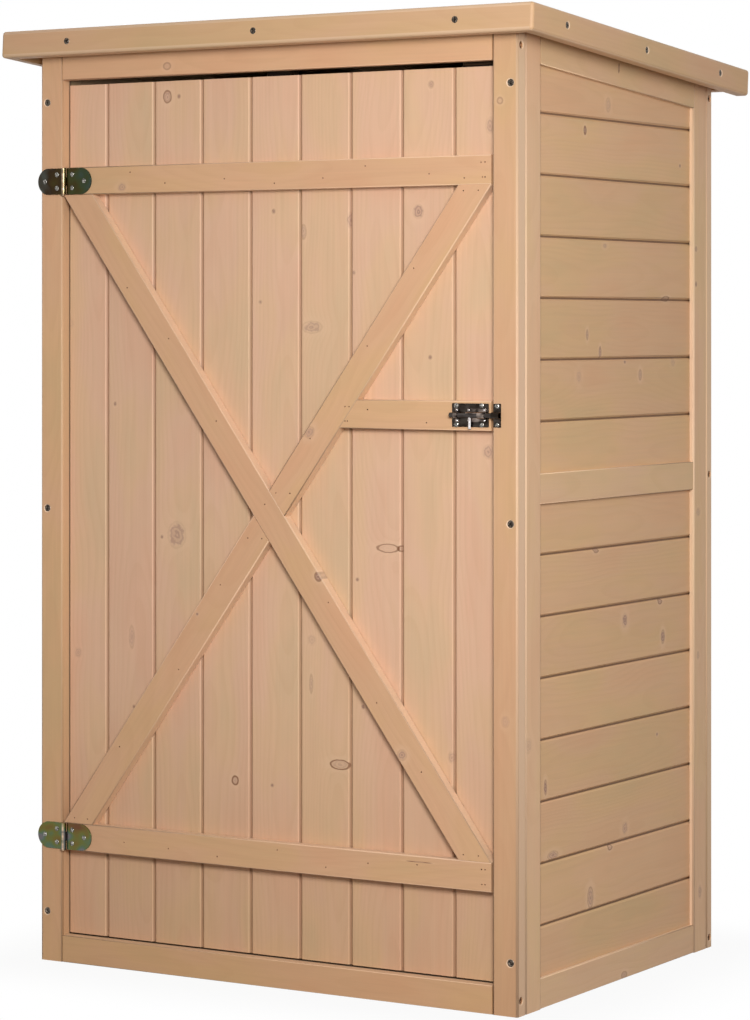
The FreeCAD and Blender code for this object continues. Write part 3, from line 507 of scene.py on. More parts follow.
@finish
def fir(web, surface, colour, ring_spacing, untinted_vee, dirt_and_shade, ground_shade, shine, gap_shaded):
    """Planed fir: year rings and fibres along each board's grain, soft tints, and its knots.

    untinted_vee is the share of a joint's vee above its tint, and dirt is the tint's colour, grime and
    painted shade. splash is how far the wood is darkened towards the ground, which is painted shade, shine is
    its specular level, and grimy wood has painted shade in the door's gap and on the opening's arris beside
    it.
    """
    grain = web.read("grain")
    light, warm, _ = web.parts(web.read("board"))
    core, rim, halo, swirl = drawn_knots(web, grain)

    drift = web.vectors("SUBTRACT", web.streaks(grain, (2.2, 5, 5), output=1), (0.5, 0.5, 0.5))
    drift = web.vectors("MULTIPLY", drift, (0, 0.05, 0.05))
    off_pith = web.vectors("MULTIPLY", web.vectors("ADD", grain, drift), (0, 1, 1))
    radius = web.vectors("LENGTH", off_pith, output=1) + swirl
    year = web.maths("FRACT", radius / ring_spacing)
    late = web.rise(year, 0.35, 0.88) * web.fall(year, 0.92, 1)
    fibres = web.streaks(grain, (7, 420, 420), 4)
    pores = web.streaks(grain, (30, 1400, 1400))

    patches = web.streaks(grain, (6, 12, 17), 2.5) + warm * 0.06
    tints = web.ramp(
        patches,
        (0.3, (1.01, 0.945, 0.95)), (0.46, (1.01, 0.99, 1.0)),
        (0.58, (1.0, 1.0, 0.94)), (0.72, (0.94, 0.985, 0.915)),
    )
    clouds = web.streaks(grain, (9, 30, 40), 3)
    shade = 1 + light * 0.035 + (clouds - 0.5) * 0.09 + (fibres - 0.5) * 0.11
    shade = shade - web.read("end", "Fac") * 0.16
    planed = web.tint(1, colour, tints, "MULTIPLY")
    planed = web.add("VectorMath", {0: planed, "Scale": shade}, operation="SCALE")
    planed = web.tint(late * 0.08, planed, STAINS_AND_PAINTED_LIGHT["late wood"])
    planed = web.tint(web.maths("MULTIPLY", halo, 0.35, clamp=True), planed, STAINS_AND_PAINTED_LIGHT["near a knot"])
    knots = web.tint(core * core, STAINS_AND_PAINTED_LIGHT["knot"], STAINS_AND_PAINTED_LIGHT["knot's heart"])
    planed = web.tint(web.maths("MULTIPLY", core, 1.4, clamp=True), planed, knots)
    planed = web.tint(web.maths("MULTIPLY", rim, 0.85, clamp=True), planed, STAINS_AND_PAINTED_LIGHT["knot's rim"])
    # Paler edges, narrow sides and pit rims: rubbed wood, and on the edges and sides painted highlight too.
    planed = web.tint(web.read("wear", "Fac"), planed, STAINS_AND_PAINTED_LIGHT["worn"])
    # The foot of a joint's vee is darkened: grime and painted shade.
    deep = web.rise(web.read("depth", "Fac"), untinted_vee, untinted_vee + 0.22)
    planed = web.tint(web.read("joint", "Fac") * deep, planed, dirt_and_shade)

    across, back, height = web.parts(web.place())
    # Darker towards the ground: painted shade.
    if ground_shade:
        low = web.fall(height, 0, GROUND_SHADE_HEIGHT) * ground_shade
        planed = web.tint(low, planed, STAINS_AND_PAINTED_LIGHT["splashed"], "MULTIPLY")
    # Painted shade: the opening's arris beside the door is darkened, and the frame's faces in the door's gap
    # are near black.
    if gap_shaded:
        across = abs(across)
        behind = web.rise(back, DOOR_FACE, DOOR_FACE + 0.0008)
        reveal = (1 - behind) * web.rise(across, OPENING - 0.001, OPENING - 0.0002)
        reveal = reveal * web.fall(across, OPENING + 0.0002, OPENING + 0.0028)
        planed = web.tint(reveal, planed, STAINS_AND_PAINTED_LIGHT["reveal"], "MULTIPLY")
        gap = web.fall(across, OPENING + 0.0001, OPENING + 0.0006) * behind
        gap = gap * web.fall(back, FRAME_BACK, FRAME_BACK + 0.0004)
        planed = web.tint(gap * 0.85, planed, STAINS_AND_PAINTED_LIGHT["door's gap"])

    raised = late * 0.5 + (fibres + pores)
    web.join(surface, {
        "Base Color": planed, "Roughness": 0.56 + (fibres - 0.5) * 0.2, "Specular IOR Level": shine,
        "Normal": web.bump(raised, 0.35, 0.0002),
    })


@finish
def hinge_zinc(web, surface):
    """Passivated zinc, brown to blue and dark above, brighter low down, with a pale gold painted highlight
    broken along each knuckle.
    """
    place = web.place()
    off_pin, _, height = web.parts(place)
    off_pin = off_pin - PIN_PLACE
    bloom = web.noise(place, 55, 1)
    fine = web.noise(place, 900)
    dark = web.ramp(
        (bloom - 0.5) * 0.8 + (0.5 + off_pin * 7),
        (0.14, (0.06, 0.062, 0.052)), (0.34, (0.036, 0.022, 0.012)), (0.5, (0.05, 0.034, 0.012)),
        (0.62, (0.048, 0.05, 0.018)), (0.74, (0.04, 0.055, 0.03)), (0.88, (0.045, 0.065, 0.06)),
    )
    bright = web.ramp(
        web.noise(place, 62, 0.5),
        (0.22, (0.13, 0.06, 0.03)), (0.4, (0.14, 0.11, 0.032)), (0.49, (0.12, 0.13, 0.04)),
        (0.58, (0.085, 0.13, 0.08)), (0.67, (0.13, 0.13, 0.13)), (0.8, (0.15, 0.11, 0.11)),
    )
    colour = web.tint(web.fall(height, 0.3, 0.4), dark, bright)
    # A painted highlight: a narrow pale gold band down each knuckle, just right of the pin, broken along its
    # length.
    rolled = web.fall(abs(off_pin - KNUCKLE * 0.25), KNUCKLE * 0.1, KNUCKLE * 0.55)
    broken = web.between(web.streaks(place, (0, 0, 190), 1), 0.35, 1, 0.4, 0.6)
    web.join(surface, {
        "Base Color": web.tint(rolled * broken, colour, (0.62, 0.44, 0.29)), "Metallic": 1,
        "Roughness": web.between(fine, 0.16, 0.3), "Normal": web.bump(fine, 0.1, 0.0001),
    })


@finish
def bolt_plating_and_reflection(web, surface, dark, light, smooth):
    """Plating over rolled sheet, with soft bands from dark to light that are painted reflections; smooth is
    its least roughness.
    """
    place = web.place()
    bands = web.streaks(place, (90, 90, 150))
    web.join(surface, {
        "Base Color": web.ramp(bands, (0.4, dark), (0.68, light)), "Metallic": 1,
        "Roughness": web.between(web.noise(place, 1500), smooth, smooth + 0.12),
        "Normal": web.bump(bands, 0.2, 0.0002),
    })


@finish
def screw_zinc(web, surface, colour):
    """Zinc on a screw or nail, a little dulled and scuffed, with painted glints in its brightest patches."""
    glints_and_scuffs = web.noise(web.place(), 800)
    # The brightest patches, brighter than the base colour, are painted glints.
    tints = web.ramp(glints_and_scuffs, (0.38, (0.3, 0.28, 0.26)), (0.5, (0.9, 0.88, 0.86)), (0.64, (2.4, 2.35, 2.3)))
    web.join(surface, {
        "Base Color": web.tint(1, colour, tints, "MULTIPLY"), "Metallic": 1,
        "Roughness": web.between(glints_and_scuffs, 0.12, 0.36),
    })


@finish
def roofing_felt(web, surface):
    """Bitumen felt with a mineral face: dark green-grey grains, some pale."""
    place = web.place()
    grains = {"Vector": place, "Scale": 700}
    colour = web.ramp(
        web.add("SeparateColor", {0: web.add("TexVoronoi", grains, "Color")}),
        (0, (0.035, 0.04, 0.037)), (0.55, (0.075, 0.085, 0.078)), (0.85, (0.13, 0.145, 0.13)),
        (1, (0.26, 0.27, 0.25)),
    )
    weather = web.ramp(web.noise(place, 9, 3), (0.3, (0.85, 0.87, 0.85)), (0.7, (1.12, 1.1, 1.08)))
    web.join(surface, {
        "Base Color": web.tint(1, colour, weather, "MULTIPLY"), "Roughness": 0.92,
        "Normal": web.bump(web.add("TexVoronoi", grains, "Distance"), 0.6, 0.0006),
    })


def solids_of(mesh):
    """One bmesh for each closed solid of a node's mesh, with its flat faces made whole."""
    whole = bmesh.new()
    whole.from_mesh(mesh)
    bmesh.ops.remove_doubles(whole, verts=whole.verts, dist=WELD)
    bmesh.ops.dissolve_limit(whole, angle_limit=FLAT_ANGLE, verts=whole.verts, edges=whole.edges)
    whole.faces.ensure_lookup_table()
    seen = set()
    solids = []
    for first in whole.faces:
        if first in seen:
            continue
        seen.add(first)
        waiting, group = [first], []
        while waiting:
            face = waiting.pop()
            group.append(face)
            for edge in face.edges:
                for other in edge.link_faces:
                    if other not in seen:
                        seen.add(other)
                        waiting.append(other)
        group.sort(key=lambda face: face.index)
        solid = bmesh.new()
        copies = {}
        for face in group:
            for vert in face.verts:
                if vert not in copies:
                    copies[vert] = solid.verts.new(vert.co)
            solid.faces.new([copies[vert] for vert in face.verts])
        solid.normal_update()
        solids.append(solid)
    whole.free()
    return solids


def span(points):
    """The low and high corners of the box round some points."""
    return [Vector([pick(point[axis] for point in points) for axis in range(3)]) for pick in (min, max)]


def mesh_of(shape, name="shape"):
    """A bmesh's mesh; the bmesh is used up."""
    mesh = bpy.data.meshes.new(name)
    shape.to_mesh(mesh)
    shape.free()
    return mesh


def bevel(shape, edges, width, segments):
    """Rounds some of a bmesh's edges, and returns the rounded faces."""
    return bmesh.ops.bevel(
        shape, geom=edges, offset=width, offset_type="OFFSET", segments=segments, profile=0.5,
        affect="EDGES", clamp_overlap=True,
    )["faces"]


def carved(mesh, cutter):
    """The mesh with the cutter's shape taken out of it. Both are used up."""
    pair = [bpy.data.objects.new("carving", mesh), bpy.data.objects.new("cutter", cutter)]
    for piece in pair:
        bpy.context.scene.collection.objects.link(piece)
    cut = pair[0].modifiers.new("cut", "BOOLEAN")
    cut.operation = "DIFFERENCE"
    cut.solver = "EXACT"
    cut.object = pair[1]
    shown = pair[0].evaluated_get(bpy.context.evaluated_depsgraph_get())
    result = bpy.data.meshes.new_from_object(shown)
    for piece in pair:
        used = piece.data
        bpy.data.objects.remove(piece)
        bpy.data.meshes.remove(used)
    return result


def turned(profile, sides):
    """A closed shape turned about its z axis from (radius, height) points, first and last on the axis."""
    shape = bmesh.new()
    turns = [2 * math.pi * side / sides for side in range(sides)]
    rings = [
        [
            shape.verts.new((radius * math.cos(turn), radius * math.sin(turn), height))
            for turn in (turns if radius else [0])
        ]
        for radius, height in profile
    ]
    for upper, lower in zip(rings, rings[1:]):
        for side in range(sides):
            after = (side + 1) % sides
            corners = ((upper, side), (lower, side), (lower, after), (upper, after))
            shape.faces.new(list(dict.fromkeys(ring[turn % len(ring)] for ring, turn in corners)))
    shape.normal_update()
    return shape


def scaled_turn(shares, radius, sides):
    """The turned shape whose points are given as shares of a radius."""
    return turned([(radius * out, radius * up) for out, up in shares], sides)


def cross_recess(outer, inner, depth):
    """A tapered cross that a driver's tip leaves in a screw's head."""
    quarter = ((outer, inner), (inner, inner), (inner, outer))
    outline = []
    for _ in range(4):
        outline += quarter
        quarter = [(-y, x) for x, y in quarter]
    shape = bmesh.new()
    upper, lower = [
        [shape.verts.new((x * share, y * share, height)) for x, y in outline]
        for share, height in ((1.2, depth * 0.4), (0.45, -depth))
    ]
    shape.faces.new(upper)
    shape.faces.new(lower[::-1])
    for number in range(len(outline)):
        after = (number + 1) % len(outline)
        shape.faces.new([upper[number], lower[number], lower[after], upper[after]])
    shape.normal_update()
    return shape


def cross_head(radius, domed):
    """A countersunk screw's head with its cross recess, face up at the origin."""
    rise = HEAD_DOME if domed else 0
    dome = [(0, rise), (0.4, rise * 0.84), (0.75, rise * 0.42), (0.94, 0)]
    head = mesh_of(scaled_turn([*dome, (1, -0.05), (0.5, -0.5), (0, -0.5)], radius, 32))
    return carved(head, mesh_of(cross_recess(radius * 0.6, radius * 0.15, radius * 0.42)))


def facing(point, outward, spin=0.0):
    """The placement that stands a piece made face up at a point, with its face outward."""
    turn = outward.to_track_quat("Z", "Y").to_matrix().to_4x4()
    return Matrix.Translation(point) @ turn @ Matrix.Rotation(spin, 4, "Z")


def gathered(pattern, placements):
    """One mesh with a copy of the pattern at each placement. The pattern is used up."""
    whole = bmesh.new()
    for placement in placements:
        copy = pattern.copy()
        copy.transform(placement)
        whole.from_mesh(copy)
        bpy.data.meshes.remove(copy)
    bpy.data.meshes.remove(pattern)
    return mesh_of(whole)


def show(name, mesh, material, body):
    """Links a new piece with its finish, on its body."""
    mesh.name = name
    mesh.materials.clear()
    mesh.materials.append(material)
    piece = bpy.data.objects.new(name, mesh)
    bpy.context.scene.collection.objects.link(piece)
    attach(piece, body)
    return piece


class Board:
    """One solid of wood, with the frame that its grain runs in."""

    def __init__(self, shape, draw):
        self.shape = shape
        runs = {}
        for edge in shape.edges:
            run = edge.verts[1].co - edge.verts[0].co
            length = run.length
            run = run / length
            if max(run, key=abs) < 0:
                run = -run
            near = next((key for key in runs if Vector(key).dot(run) > ALONG_GRAIN), tuple(run))
            runs[near] = runs.get(near, 0) + length
        self.along = Vector(max(runs, key=runs.get)).normalized()
        faces = [face for face in shape.faces if abs(face.normal.dot(self.along)) < 1 - ALONG_GRAIN]
        widest = max(faces, key=lambda face: round(face.calc_area(), 8)).normal
        self.out = (widest - self.along * widest.dot(self.along)).normalized()
        self.across = self.along.cross(self.out)
        self.axes = Matrix((self.along, self.out, self.across))
        low, high = span([self.axes @ vert.co for vert in shape.verts])
        self.middle = (low + high) / 2
        self.half = (high - low) / 2
        pith_depth = draw.uniform(0.03, 0.075) * draw.choice((-1, 1))
        self.pith = Vector((draw.uniform(2, 40), pith_depth, draw.uniform(-0.025, 0.025)))
        self.mark = [draw.uniform(-1, 1) for _ in range(3)]
        self.knots = []
        self.pits = []

    def grain_at(self, point):
        """The point's place along the grain and off the pith."""
        return self.axes @ point - self.middle + self.pith

    def take_knots(self, knots):
        """Keeps the knots, given as (point, half length, half width, rim, core), that lie in this board."""
        for point, half_length, half_width, rim, core in knots:
            local = self.axes @ point - self.middle
            if all(abs(local[axis]) < self.half[axis] + KNOT_MARGIN for axis in range(3)):
                place = self.grain_at(point)
                self.knots.append(((place.x, place.z, half_length), (half_width / half_length, rim, core)))

    def draw_knots(self, draw, often):
        """Adds knots at random, more on a longer board."""
        count = int(draw.uniform(0, 1) + often * self.half.x * 2)
        for _ in range(min(count, KNOT_PLACES)):
            pin = draw.random() < 0.45
            half_length = draw.uniform(0.0015, 0.003) if pin else draw.uniform(0.004, 0.011)
            half_length = min(half_length, self.half.z * 0.8)
            along, across = draw.uniform(-0.9, 0.9) * self.half.x, draw.uniform(-0.8, 0.8) * self.half.z
            place = Vector((along, 0, across)) + self.pith
            aspect = draw.uniform(0.6, 1.1)
            rim = draw.choice((0.1, 0.1, 0.3, 0.9))
            core = 0.8 if pin else draw.uniform(0.25, 0.6)
            self.knots.append(((place.x, place.z, half_length), (aspect, rim, core)))

    def ease(self, arris):
        """Rounds the outer edges that run along the grain."""
        points = [vert.co for vert in self.shape.verts]

        def outermost(face):
            level = face.normal.dot(face.verts[0].co)
            return all(face.normal.dot(point) < level + NEAR_PLANE for point in points)

        outer = {face: outermost(face) for face in self.shape.faces}
        edges = []
        for edge in self.shape.edges:
            run = (edge.verts[1].co - edge.verts[0].co).normalized()
            if abs(run.dot(self.along)) > ALONG_GRAIN and all(outer[face] for face in edge.link_faces):
                edges.append(edge)
        for face in bevel(self.shape, edges, arris, 3):
            face.smooth = True
        self.shape.normal_update()

    def depth_at(self, point):
        """How far a point lies under the nearer wide face: 0 on it, 1 at the foot of a vee and below."""
        level = abs((self.axes @ point - self.middle)[1])
        return min((self.half[1] - level) / VEE, 1.0)

    def in_joint(self, face):
        """Whether a face runs along the board's edge: a vee, a shoulder, a tongue or a groove."""
        under = min(self.depth_at(vert.co) for vert in face.verts) > 0.9
        slant = abs(face.normal.dot(self.out)) < ALONG_GRAIN
        return (under or slant) and abs(face.normal.dot(self.along)) < END_GRAIN

    def rims(self, face, inward, flare):
        """Whether a face belongs to the flared rim of the pit that inward moves a point to."""
        points = [inward @ vert.co for vert in face.verts]
        return all(abs(at.z) < PIT_RIM * 1.2 and math.hypot(at.x, at.y) < flare * 1.1 for at in points)

    def wear_of(self, face):
        """How pale a face is made: the rubbed rim of a screw's pit most, then a narrow side and an eased
        edge, rubbed and painted with highlight.
        """
        if any(self.rims(face, *pit) for pit in self.pits):
            return PIT_WEAR
        if face.smooth:
            return ARRIS_WEAR_AND_HIGHLIGHT
        return SIDE_WEAR_AND_HIGHLIGHT if abs(face.normal.dot(self.across)) > END_GRAIN else 0.0

    def sink(self, placements, radius, depth):
        """Cuts a countersunk pit at each placement."""
        wall, flare = radius * PIT_WALL, radius * PIT_FLARE
        foot = -depth - wall * 0.55
        clear = 0.001
        profile = [
            (0, clear), (flare, clear), (flare, 0), (wall, -PIT_RIM), (wall, -depth), (wall * 0.5, foot),
            (0, foot),
        ]
        cutter = gathered(mesh_of(turned(profile, 32)), placements)
        self.pits += [(placement.inverted(), flare) for placement in placements]
        cut = carved(mesh_of(self.shape), cutter)
        self.shape = bmesh.new()
        self.shape.from_mesh(cut)
        bpy.data.meshes.remove(cut)


def knots_in(name):
    """The knots measured in a node, as (point, half length, half width, rim, core)."""
    low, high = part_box(name)
    face = DOOR_FACE if name == "door_boards" else FRONT
    knots = []
    for across, up, long, wide, rim, core in KNOTS.get(name, ()):
        on_side = (high.x, FRONT + across * MM, up * MM)
        point = on_side if name.startswith("right_") else (across * MM, face, up * MM)
        knots.append((Vector(point), long * MM, wide * MM, rim, core))
    return knots


def arris_of(settings, name):
    """How far a wooden node's long edges are rounded."""
    for word in ("board", "slats", "ledge", "brace", "stile", "fascia"):
        if word in name:
            kind = {"slats": "board", "brace": "ledge"}.get(word, word)
            return getattr(settings, f"{kind}_arris")
    return settings.rail_arris


def wooden(name, kind, often=1.2, joint=0.0):
    """Makes a wooden node again with eased edges and its grain, and hides the node.

    kind chooses its finish, and often how many knots it has where none were measured. joint is how dark the
    wood is at the foot of its joints, grime and painted shade. A piece with no such joints has paler edges,
    rubbed and painted with highlight.
    """
    settings = bpy.context.scene.cabinet_wood
    finish_of_kind = fir(
        f"{kind}_fir_planed", tuple(getattr(settings, f"{kind}_colour")), settings.ring_spacing,
        *VEE_DIRT_AND_SHADE.get(kind, OTHER_VEE_DIRT_AND_SHADE), GROUND_SHADE.get(kind, 0), SHINE.get(kind, OTHER_SHINE), kind == "frame",
    )
    node, draw, knots = nodes[name], random.Random(name), knots_in(name)
    points, faces, smooth = [], [], []
    vectors = {"grain": [], "board": []}
    numbers = {"end": [], "joint": [], "wear": [], "depth": []}
    for shape in solids_of(node.data):
        board = Board(shape, draw)
        board.mark[0] += TONES.get(name, 0)
        board.take_knots(knots)
        if not knots:
            board.draw_knots(draw, often)
        board.ease(arris_of(settings, name))
        for pit in pits_in(name, bpy.context.scene.cabinet_fasteners):
            board.sink(*pit)
        start = len(points)
        board.shape.verts.index_update()
        shown = board.knots[:KNOT_PLACES] + [((0, 0, 0), (1, 0, 0))] * (KNOT_PLACES - len(board.knots))
        for vert in board.shape.verts:
            points.append(vert.co.copy())
            numbers["depth"].append(board.depth_at(vert.co))
            vectors["grain"].append(board.grain_at(vert.co))
            vectors["board"].append(board.mark)
            for number, (place, look) in enumerate(shown, 1):
                vectors.setdefault(f"knot_{number}", []).append(place)
                vectors.setdefault(f"knot_{number}_look", []).append(look)
        for face in board.shape.faces:
            faces.append([start + vert.index for vert in face.verts])
            smooth.append(face.smooth)
            numbers["end"].append(float(abs(face.normal.dot(board.along)) > END_GRAIN))
            numbers["joint"].append(joint if board.in_joint(face) else 0.0)
            numbers["wear"].append(0.0 if joint else board.wear_of(face))
        board.shape.free()
    mesh = bpy.data.meshes.new(name)
    mesh.from_pydata(points, [], faces)
    for key, rows in vectors.items():
        store = mesh.attributes.new(key, "FLOAT_VECTOR", "POINT")
        store.data.foreach_set("vector", [value for row in rows for value in row])
    for key, values in numbers.items():
        domain = "POINT" if key == "depth" else "FACE"
        mesh.attributes.new(key, "FLOAT", domain).data.foreach_set("value", values)
    mesh.polygons.foreach_set("use_smooth", smooth)
    piece = show(f"{name}_planed", mesh, finish_of_kind, node["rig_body"])
    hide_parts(name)
    return piece


def steel(name, material, rounding):
    """Makes a steel node again with eased edges, and hides the node."""
    node = nodes[name]
    whole = bmesh.new()
    for solid in solids_of(node.data):
        whole_edges = [edge for edge in solid.edges if len(edge.link_faces) == 2]
        bent = [edge for edge in whole_edges if edge.calc_face_angle() > BEVELLED_ANGLE]
        bevel(solid, bent, rounding, 2)
        for face in solid.faces:
            face.smooth = True
        part = mesh_of(solid)
        whole.from_mesh(part)
        bpy.data.meshes.remove(part)
    mesh = mesh_of(whole)
    mesh.set_sharp_from_angle(angle=SHARP_ANGLE)
    piece = show(f"{name}_eased", mesh, material, node["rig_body"])
    even = piece.modifiers.new("even shading", "WEIGHTED_NORMAL")
    even.keep_sharp = True
    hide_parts(name)
    return piece


def frame_screw_placements(draw):
    """Where the frame screws stand, as (kind, placement) rows for each node that they hold."""
    placed = {}

    def stand(name, kind, out, points):
        rows = placed.setdefault(name, [])
        for point in points:
            rows.append((kind, facing(Vector(point), out, draw.uniform(0, math.pi))))

    for side, label in ((-1, "left"), (1, "right")):
        out = Vector((side, 0, 0))
        points = [(side * STILE_SCREW_SIDE * MM, FRONT, z * MM) for z in STILE_SCREWS]
        stand(f"front_stile_{label}", "front", FORWARD, points)
        for end, rows in EDGE_SCREWS.items():
            points = [(side * SIDE, FRONT + y * MM, z * MM) for y, z in rows]
            stand(f"{end}_stile_{label}", "edge", out, points)
        points = [(side * FASCIA_SIDE, FRONT + y * MM, z * MM) for y, z in SIDE_FASCIA_SCREWS]
        stand(f"roof_fascia_{label}", "fascia", out, points)
    points = [(x * MM, FASCIA_FRONT, z * MM) for x, z in FRONT_FASCIA_SCREWS]
    stand("roof_fascia_front", "fascia", FORWARD, points)
    points = [(x * MM, FASCIA_REAR, REAR_FASCIA_RISE * MM) for x, _ in FRONT_FASCIA_SCREWS]
    stand("roof_fascia_rear", "fascia", BACKWARD, points)
    return placed


SCREWS = frame_screw_placements(random.Random("screws"))


def screw_kinds(fasteners):
    """Each kind of frame screw, with its head's radius and how deep it is sunk."""
    return (
        ("front", fasteners.frame_screw_radius, fasteners.sink),
        ("edge", fasteners.frame_screw_radius, fasteners.edge_sink),
        ("fascia", fasteners.fascia_screw_radius, fasteners.sink),
    )


def pits_in(name, fasteners):
    """A node's screw pits: for each kind of screw in it, the placements, the radius and the depth."""
    pits = []
    for kind, radius, depth in screw_kinds(fasteners):
        places = [place for one, place in SCREWS.get(name, ()) if one == kind]
        if places:
            pits.append((places, radius, depth))
    return pits


class CABINET_OT_door_boards(bpy.types.Operator):
    """The door's nine tongued and grooved boards"""

    bl_idname = "cabinet.door_boards"
    bl_label = "Door boards"

    def execute(self, context):
        wooden("door_boards", "door", joint=DOOR_JOINT)
        return {"FINISHED"}


class CABINET_OT_ledges(bpy.types.Operator):
    """The door's ledges and braces"""

    bl_idname = "cabinet.ledges"
    bl_label = "Ledges and braces"

    def execute(self, context):
        for name in DOOR_RAILS:
            wooden(name, "ledge", often=0.6)
        return {"FINISHED"}


class CABINET_OT_front_frame(bpy.types.Operator):
    """The front frame's stiles, header and bottom rail, and the door stops"""

    bl_idname = "cabinet.front_frame"
    bl_label = "Front frame"

    def execute(self, context):
        for part in ("stile_left", "stile_right", "header", "bottom_rail"):
            wooden(f"front_{part}", "frame", often=0.6)
        # The door stops are near black: painted shade behind the gap above the door.
        wooden("door_stop_blocks", "stop")
        return {"FINISHED"}


class CABINET_OT_side_frames(bpy.types.Operator):
    """The stiles and rails of both sides"""

    bl_idname = "cabinet.side_frames"
    bl_label = "Side frames"

    def execute(self, context):
        for side in ("left", "right"):
            for part in ("front_stile", "rear_stile", "top_rail", "middle_rail", "bottom_rail"):
                wooden(f"{side}_{part}", "side", often=0.8)
        return {"FINISHED"}


class CABINET_OT_side_boards(bpy.types.Operator):
    """The level boards of both sides"""

    bl_idname = "cabinet.side_boards"
    bl_label = "Side boards"

    def execute(self, context):
        for side in ("left", "right"):
            for part in ("lower_boards", "upper_boards"):
                wooden(f"{side}_{part}", "cladding", 2.2, OTHER_JOINT)
        return {"FINISHED"}


class CABINET_OT_back(bpy.types.Operator):
    """The back's frame and boards"""

    bl_idname = "cabinet.back"
    bl_label = "Back"

    def execute(self, context):
        wooden("back_boards", "cladding", 2.2, OTHER_JOINT)
        for part in ("stile_left", "stile_right", "top_rail", "middle_rail", "bottom_rail"):
            wooden(f"back_{part}", "frame")
        return {"FINISHED"}


class CABINET_OT_roof(bpy.types.Operator):
    """The roof's fascias, boards and battens"""

    bl_idname = "cabinet.roof"
    bl_label = "Roof"

    def execute(self, context):
        for side in ("front", "rear", "left", "right"):
            wooden(f"roof_fascia_{side}", "fascia", often=0.3)
        wooden("roof_boards", "cladding", joint=OTHER_JOINT)
        wooden("roof_battens", "cladding")
        return {"FINISHED"}


class CABINET_OT_felt(bpy.types.Operator):
    """The roof's sheet of felt"""

    bl_idname = "cabinet.felt"
    bl_label = "Roof felt"

    def execute(self, context):
        nodes["roof_felt"].data.materials[0] = roofing_felt("roofing_felt")
        return {"FINISHED"}


class CABINET_OT_inside(bpy.types.Operator):
    """The floor, the shelves, and what carries them"""

    bl_idname = "cabinet.inside"
    bl_label = "Floor and shelves"

    def execute(self, context):
        for name in ("floor_boards", "lower_shelf_slats", "upper_shelf_slats"):
            wooden(name, "cladding", often=2)
        for name in ("floor_battens", "shelf_battens", "shelf_cleats"):
            wooden(name, "frame", often=2)
        return {"FINISHED"}


class CABINET_OT_hinges(bpy.types.Operator):
    """The two surface hinges' leaves and pins"""

    bl_idname = "cabinet.hinges"
    bl_label = "Hinges"

    def execute(self, context):
        leaves = [f"{place}_hinge_{leaf}_leaf" for place in ("top", "bottom") for leaf in ("frame", "door")]
        for name in (*leaves, "hinge_pins"):
            steel(name, hinge_zinc("hinge_zinc"), context.scene.cabinet_steel.edge)
        return {"FINISHED"}


def rivet_places():
    """Where the guides are riveted to the plate: on the feet of the strap and of the barrel's two ends."""
    low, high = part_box("bolt_guides")
    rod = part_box("bolt_rod")
    middle = (rod[0].z + rod[1].z) / 2
    foot = (high.z - middle + GUIDE_OUTSIDE) / 2
    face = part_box("bolt_plate")[0].y - GUIDE_SHEET
    across = (low.x + STRAP_MIDDLE, low.x + BARREL_RIVET, high.x - BARREL_END_RIVET)
    return [Vector((x, face, middle + foot * side)) for x in across for side in (-1, 1)]


def bolt_finish(look):
    return bolt_plating_and_reflection(f"bolt_{look}_plating", *PLATINGS_AND_REFLECTIONS[look])


class CABINET_OT_bolt(bpy.types.Operator):
    """The barrel bolt: plate, guides, rod, knob and keep"""

    bl_idname = "cabinet.bolt"
    bl_label = "Bolt"

    def execute(self, context):
        for part, look in BOLT.items():
            steel(f"bolt_{part}", bolt_finish(look), context.scene.cabinet_steel.edge)
        radius = context.scene.cabinet_fasteners.rivet_radius
        shares = [(0, 0.5), (0.55, 0.4), (0.88, 0.16), (1, -0.1), (0, -0.1)]
        dome = mesh_of(scaled_turn(shares, radius, 20))
        dome.shade_smooth()
        mesh = gathered(dome, [facing(point, FORWARD) for point in rivet_places()])
        show("bolt_rivets", mesh, bolt_finish("knob"), "door")
        return {"FINISHED"}


def head_middles(name):
    """The middle of each screw's face in a node of screws, and the first one's radius."""
    spans = []
    for solid in solids_of(nodes[name].data):
        spans.append(span([vert.co for vert in solid.verts]))
        solid.free()
    middles = [Vector(((low.x + high.x) / 2, low.y, (low.z + high.z) / 2)) for low, high in spans]
    return middles, (spans[0][1].z - spans[0][0].z) / 2


class CABINET_OT_small_screws(bpy.types.Operator):
    """The hinges' and the bolt's cross-head screws"""

    bl_idname = "cabinet.small_screws"
    bl_label = "Hinge and bolt screws"

    def execute(self, context):
        zinc = screw_zinc("bright_zinc", tuple(context.scene.cabinet_steel.screw_colour))
        draw = random.Random("small screws")
        for name in ("hinge_frame_screws", "hinge_door_screws", "bolt_plate_screws", "bolt_keep_screws"):
            heads, radius = head_middles(name)
            inward = BACKWARD * (radius * HEAD_DOME)
            places = [facing(point + inward, FORWARD, draw.uniform(0, math.pi)) for point in heads]
            mesh = gathered(cross_head(radius, True), places)
            piece = show(f"{name}_crossed", mesh, zinc, nodes[name]["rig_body"])
            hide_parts(name)
        return {"FINISHED"}


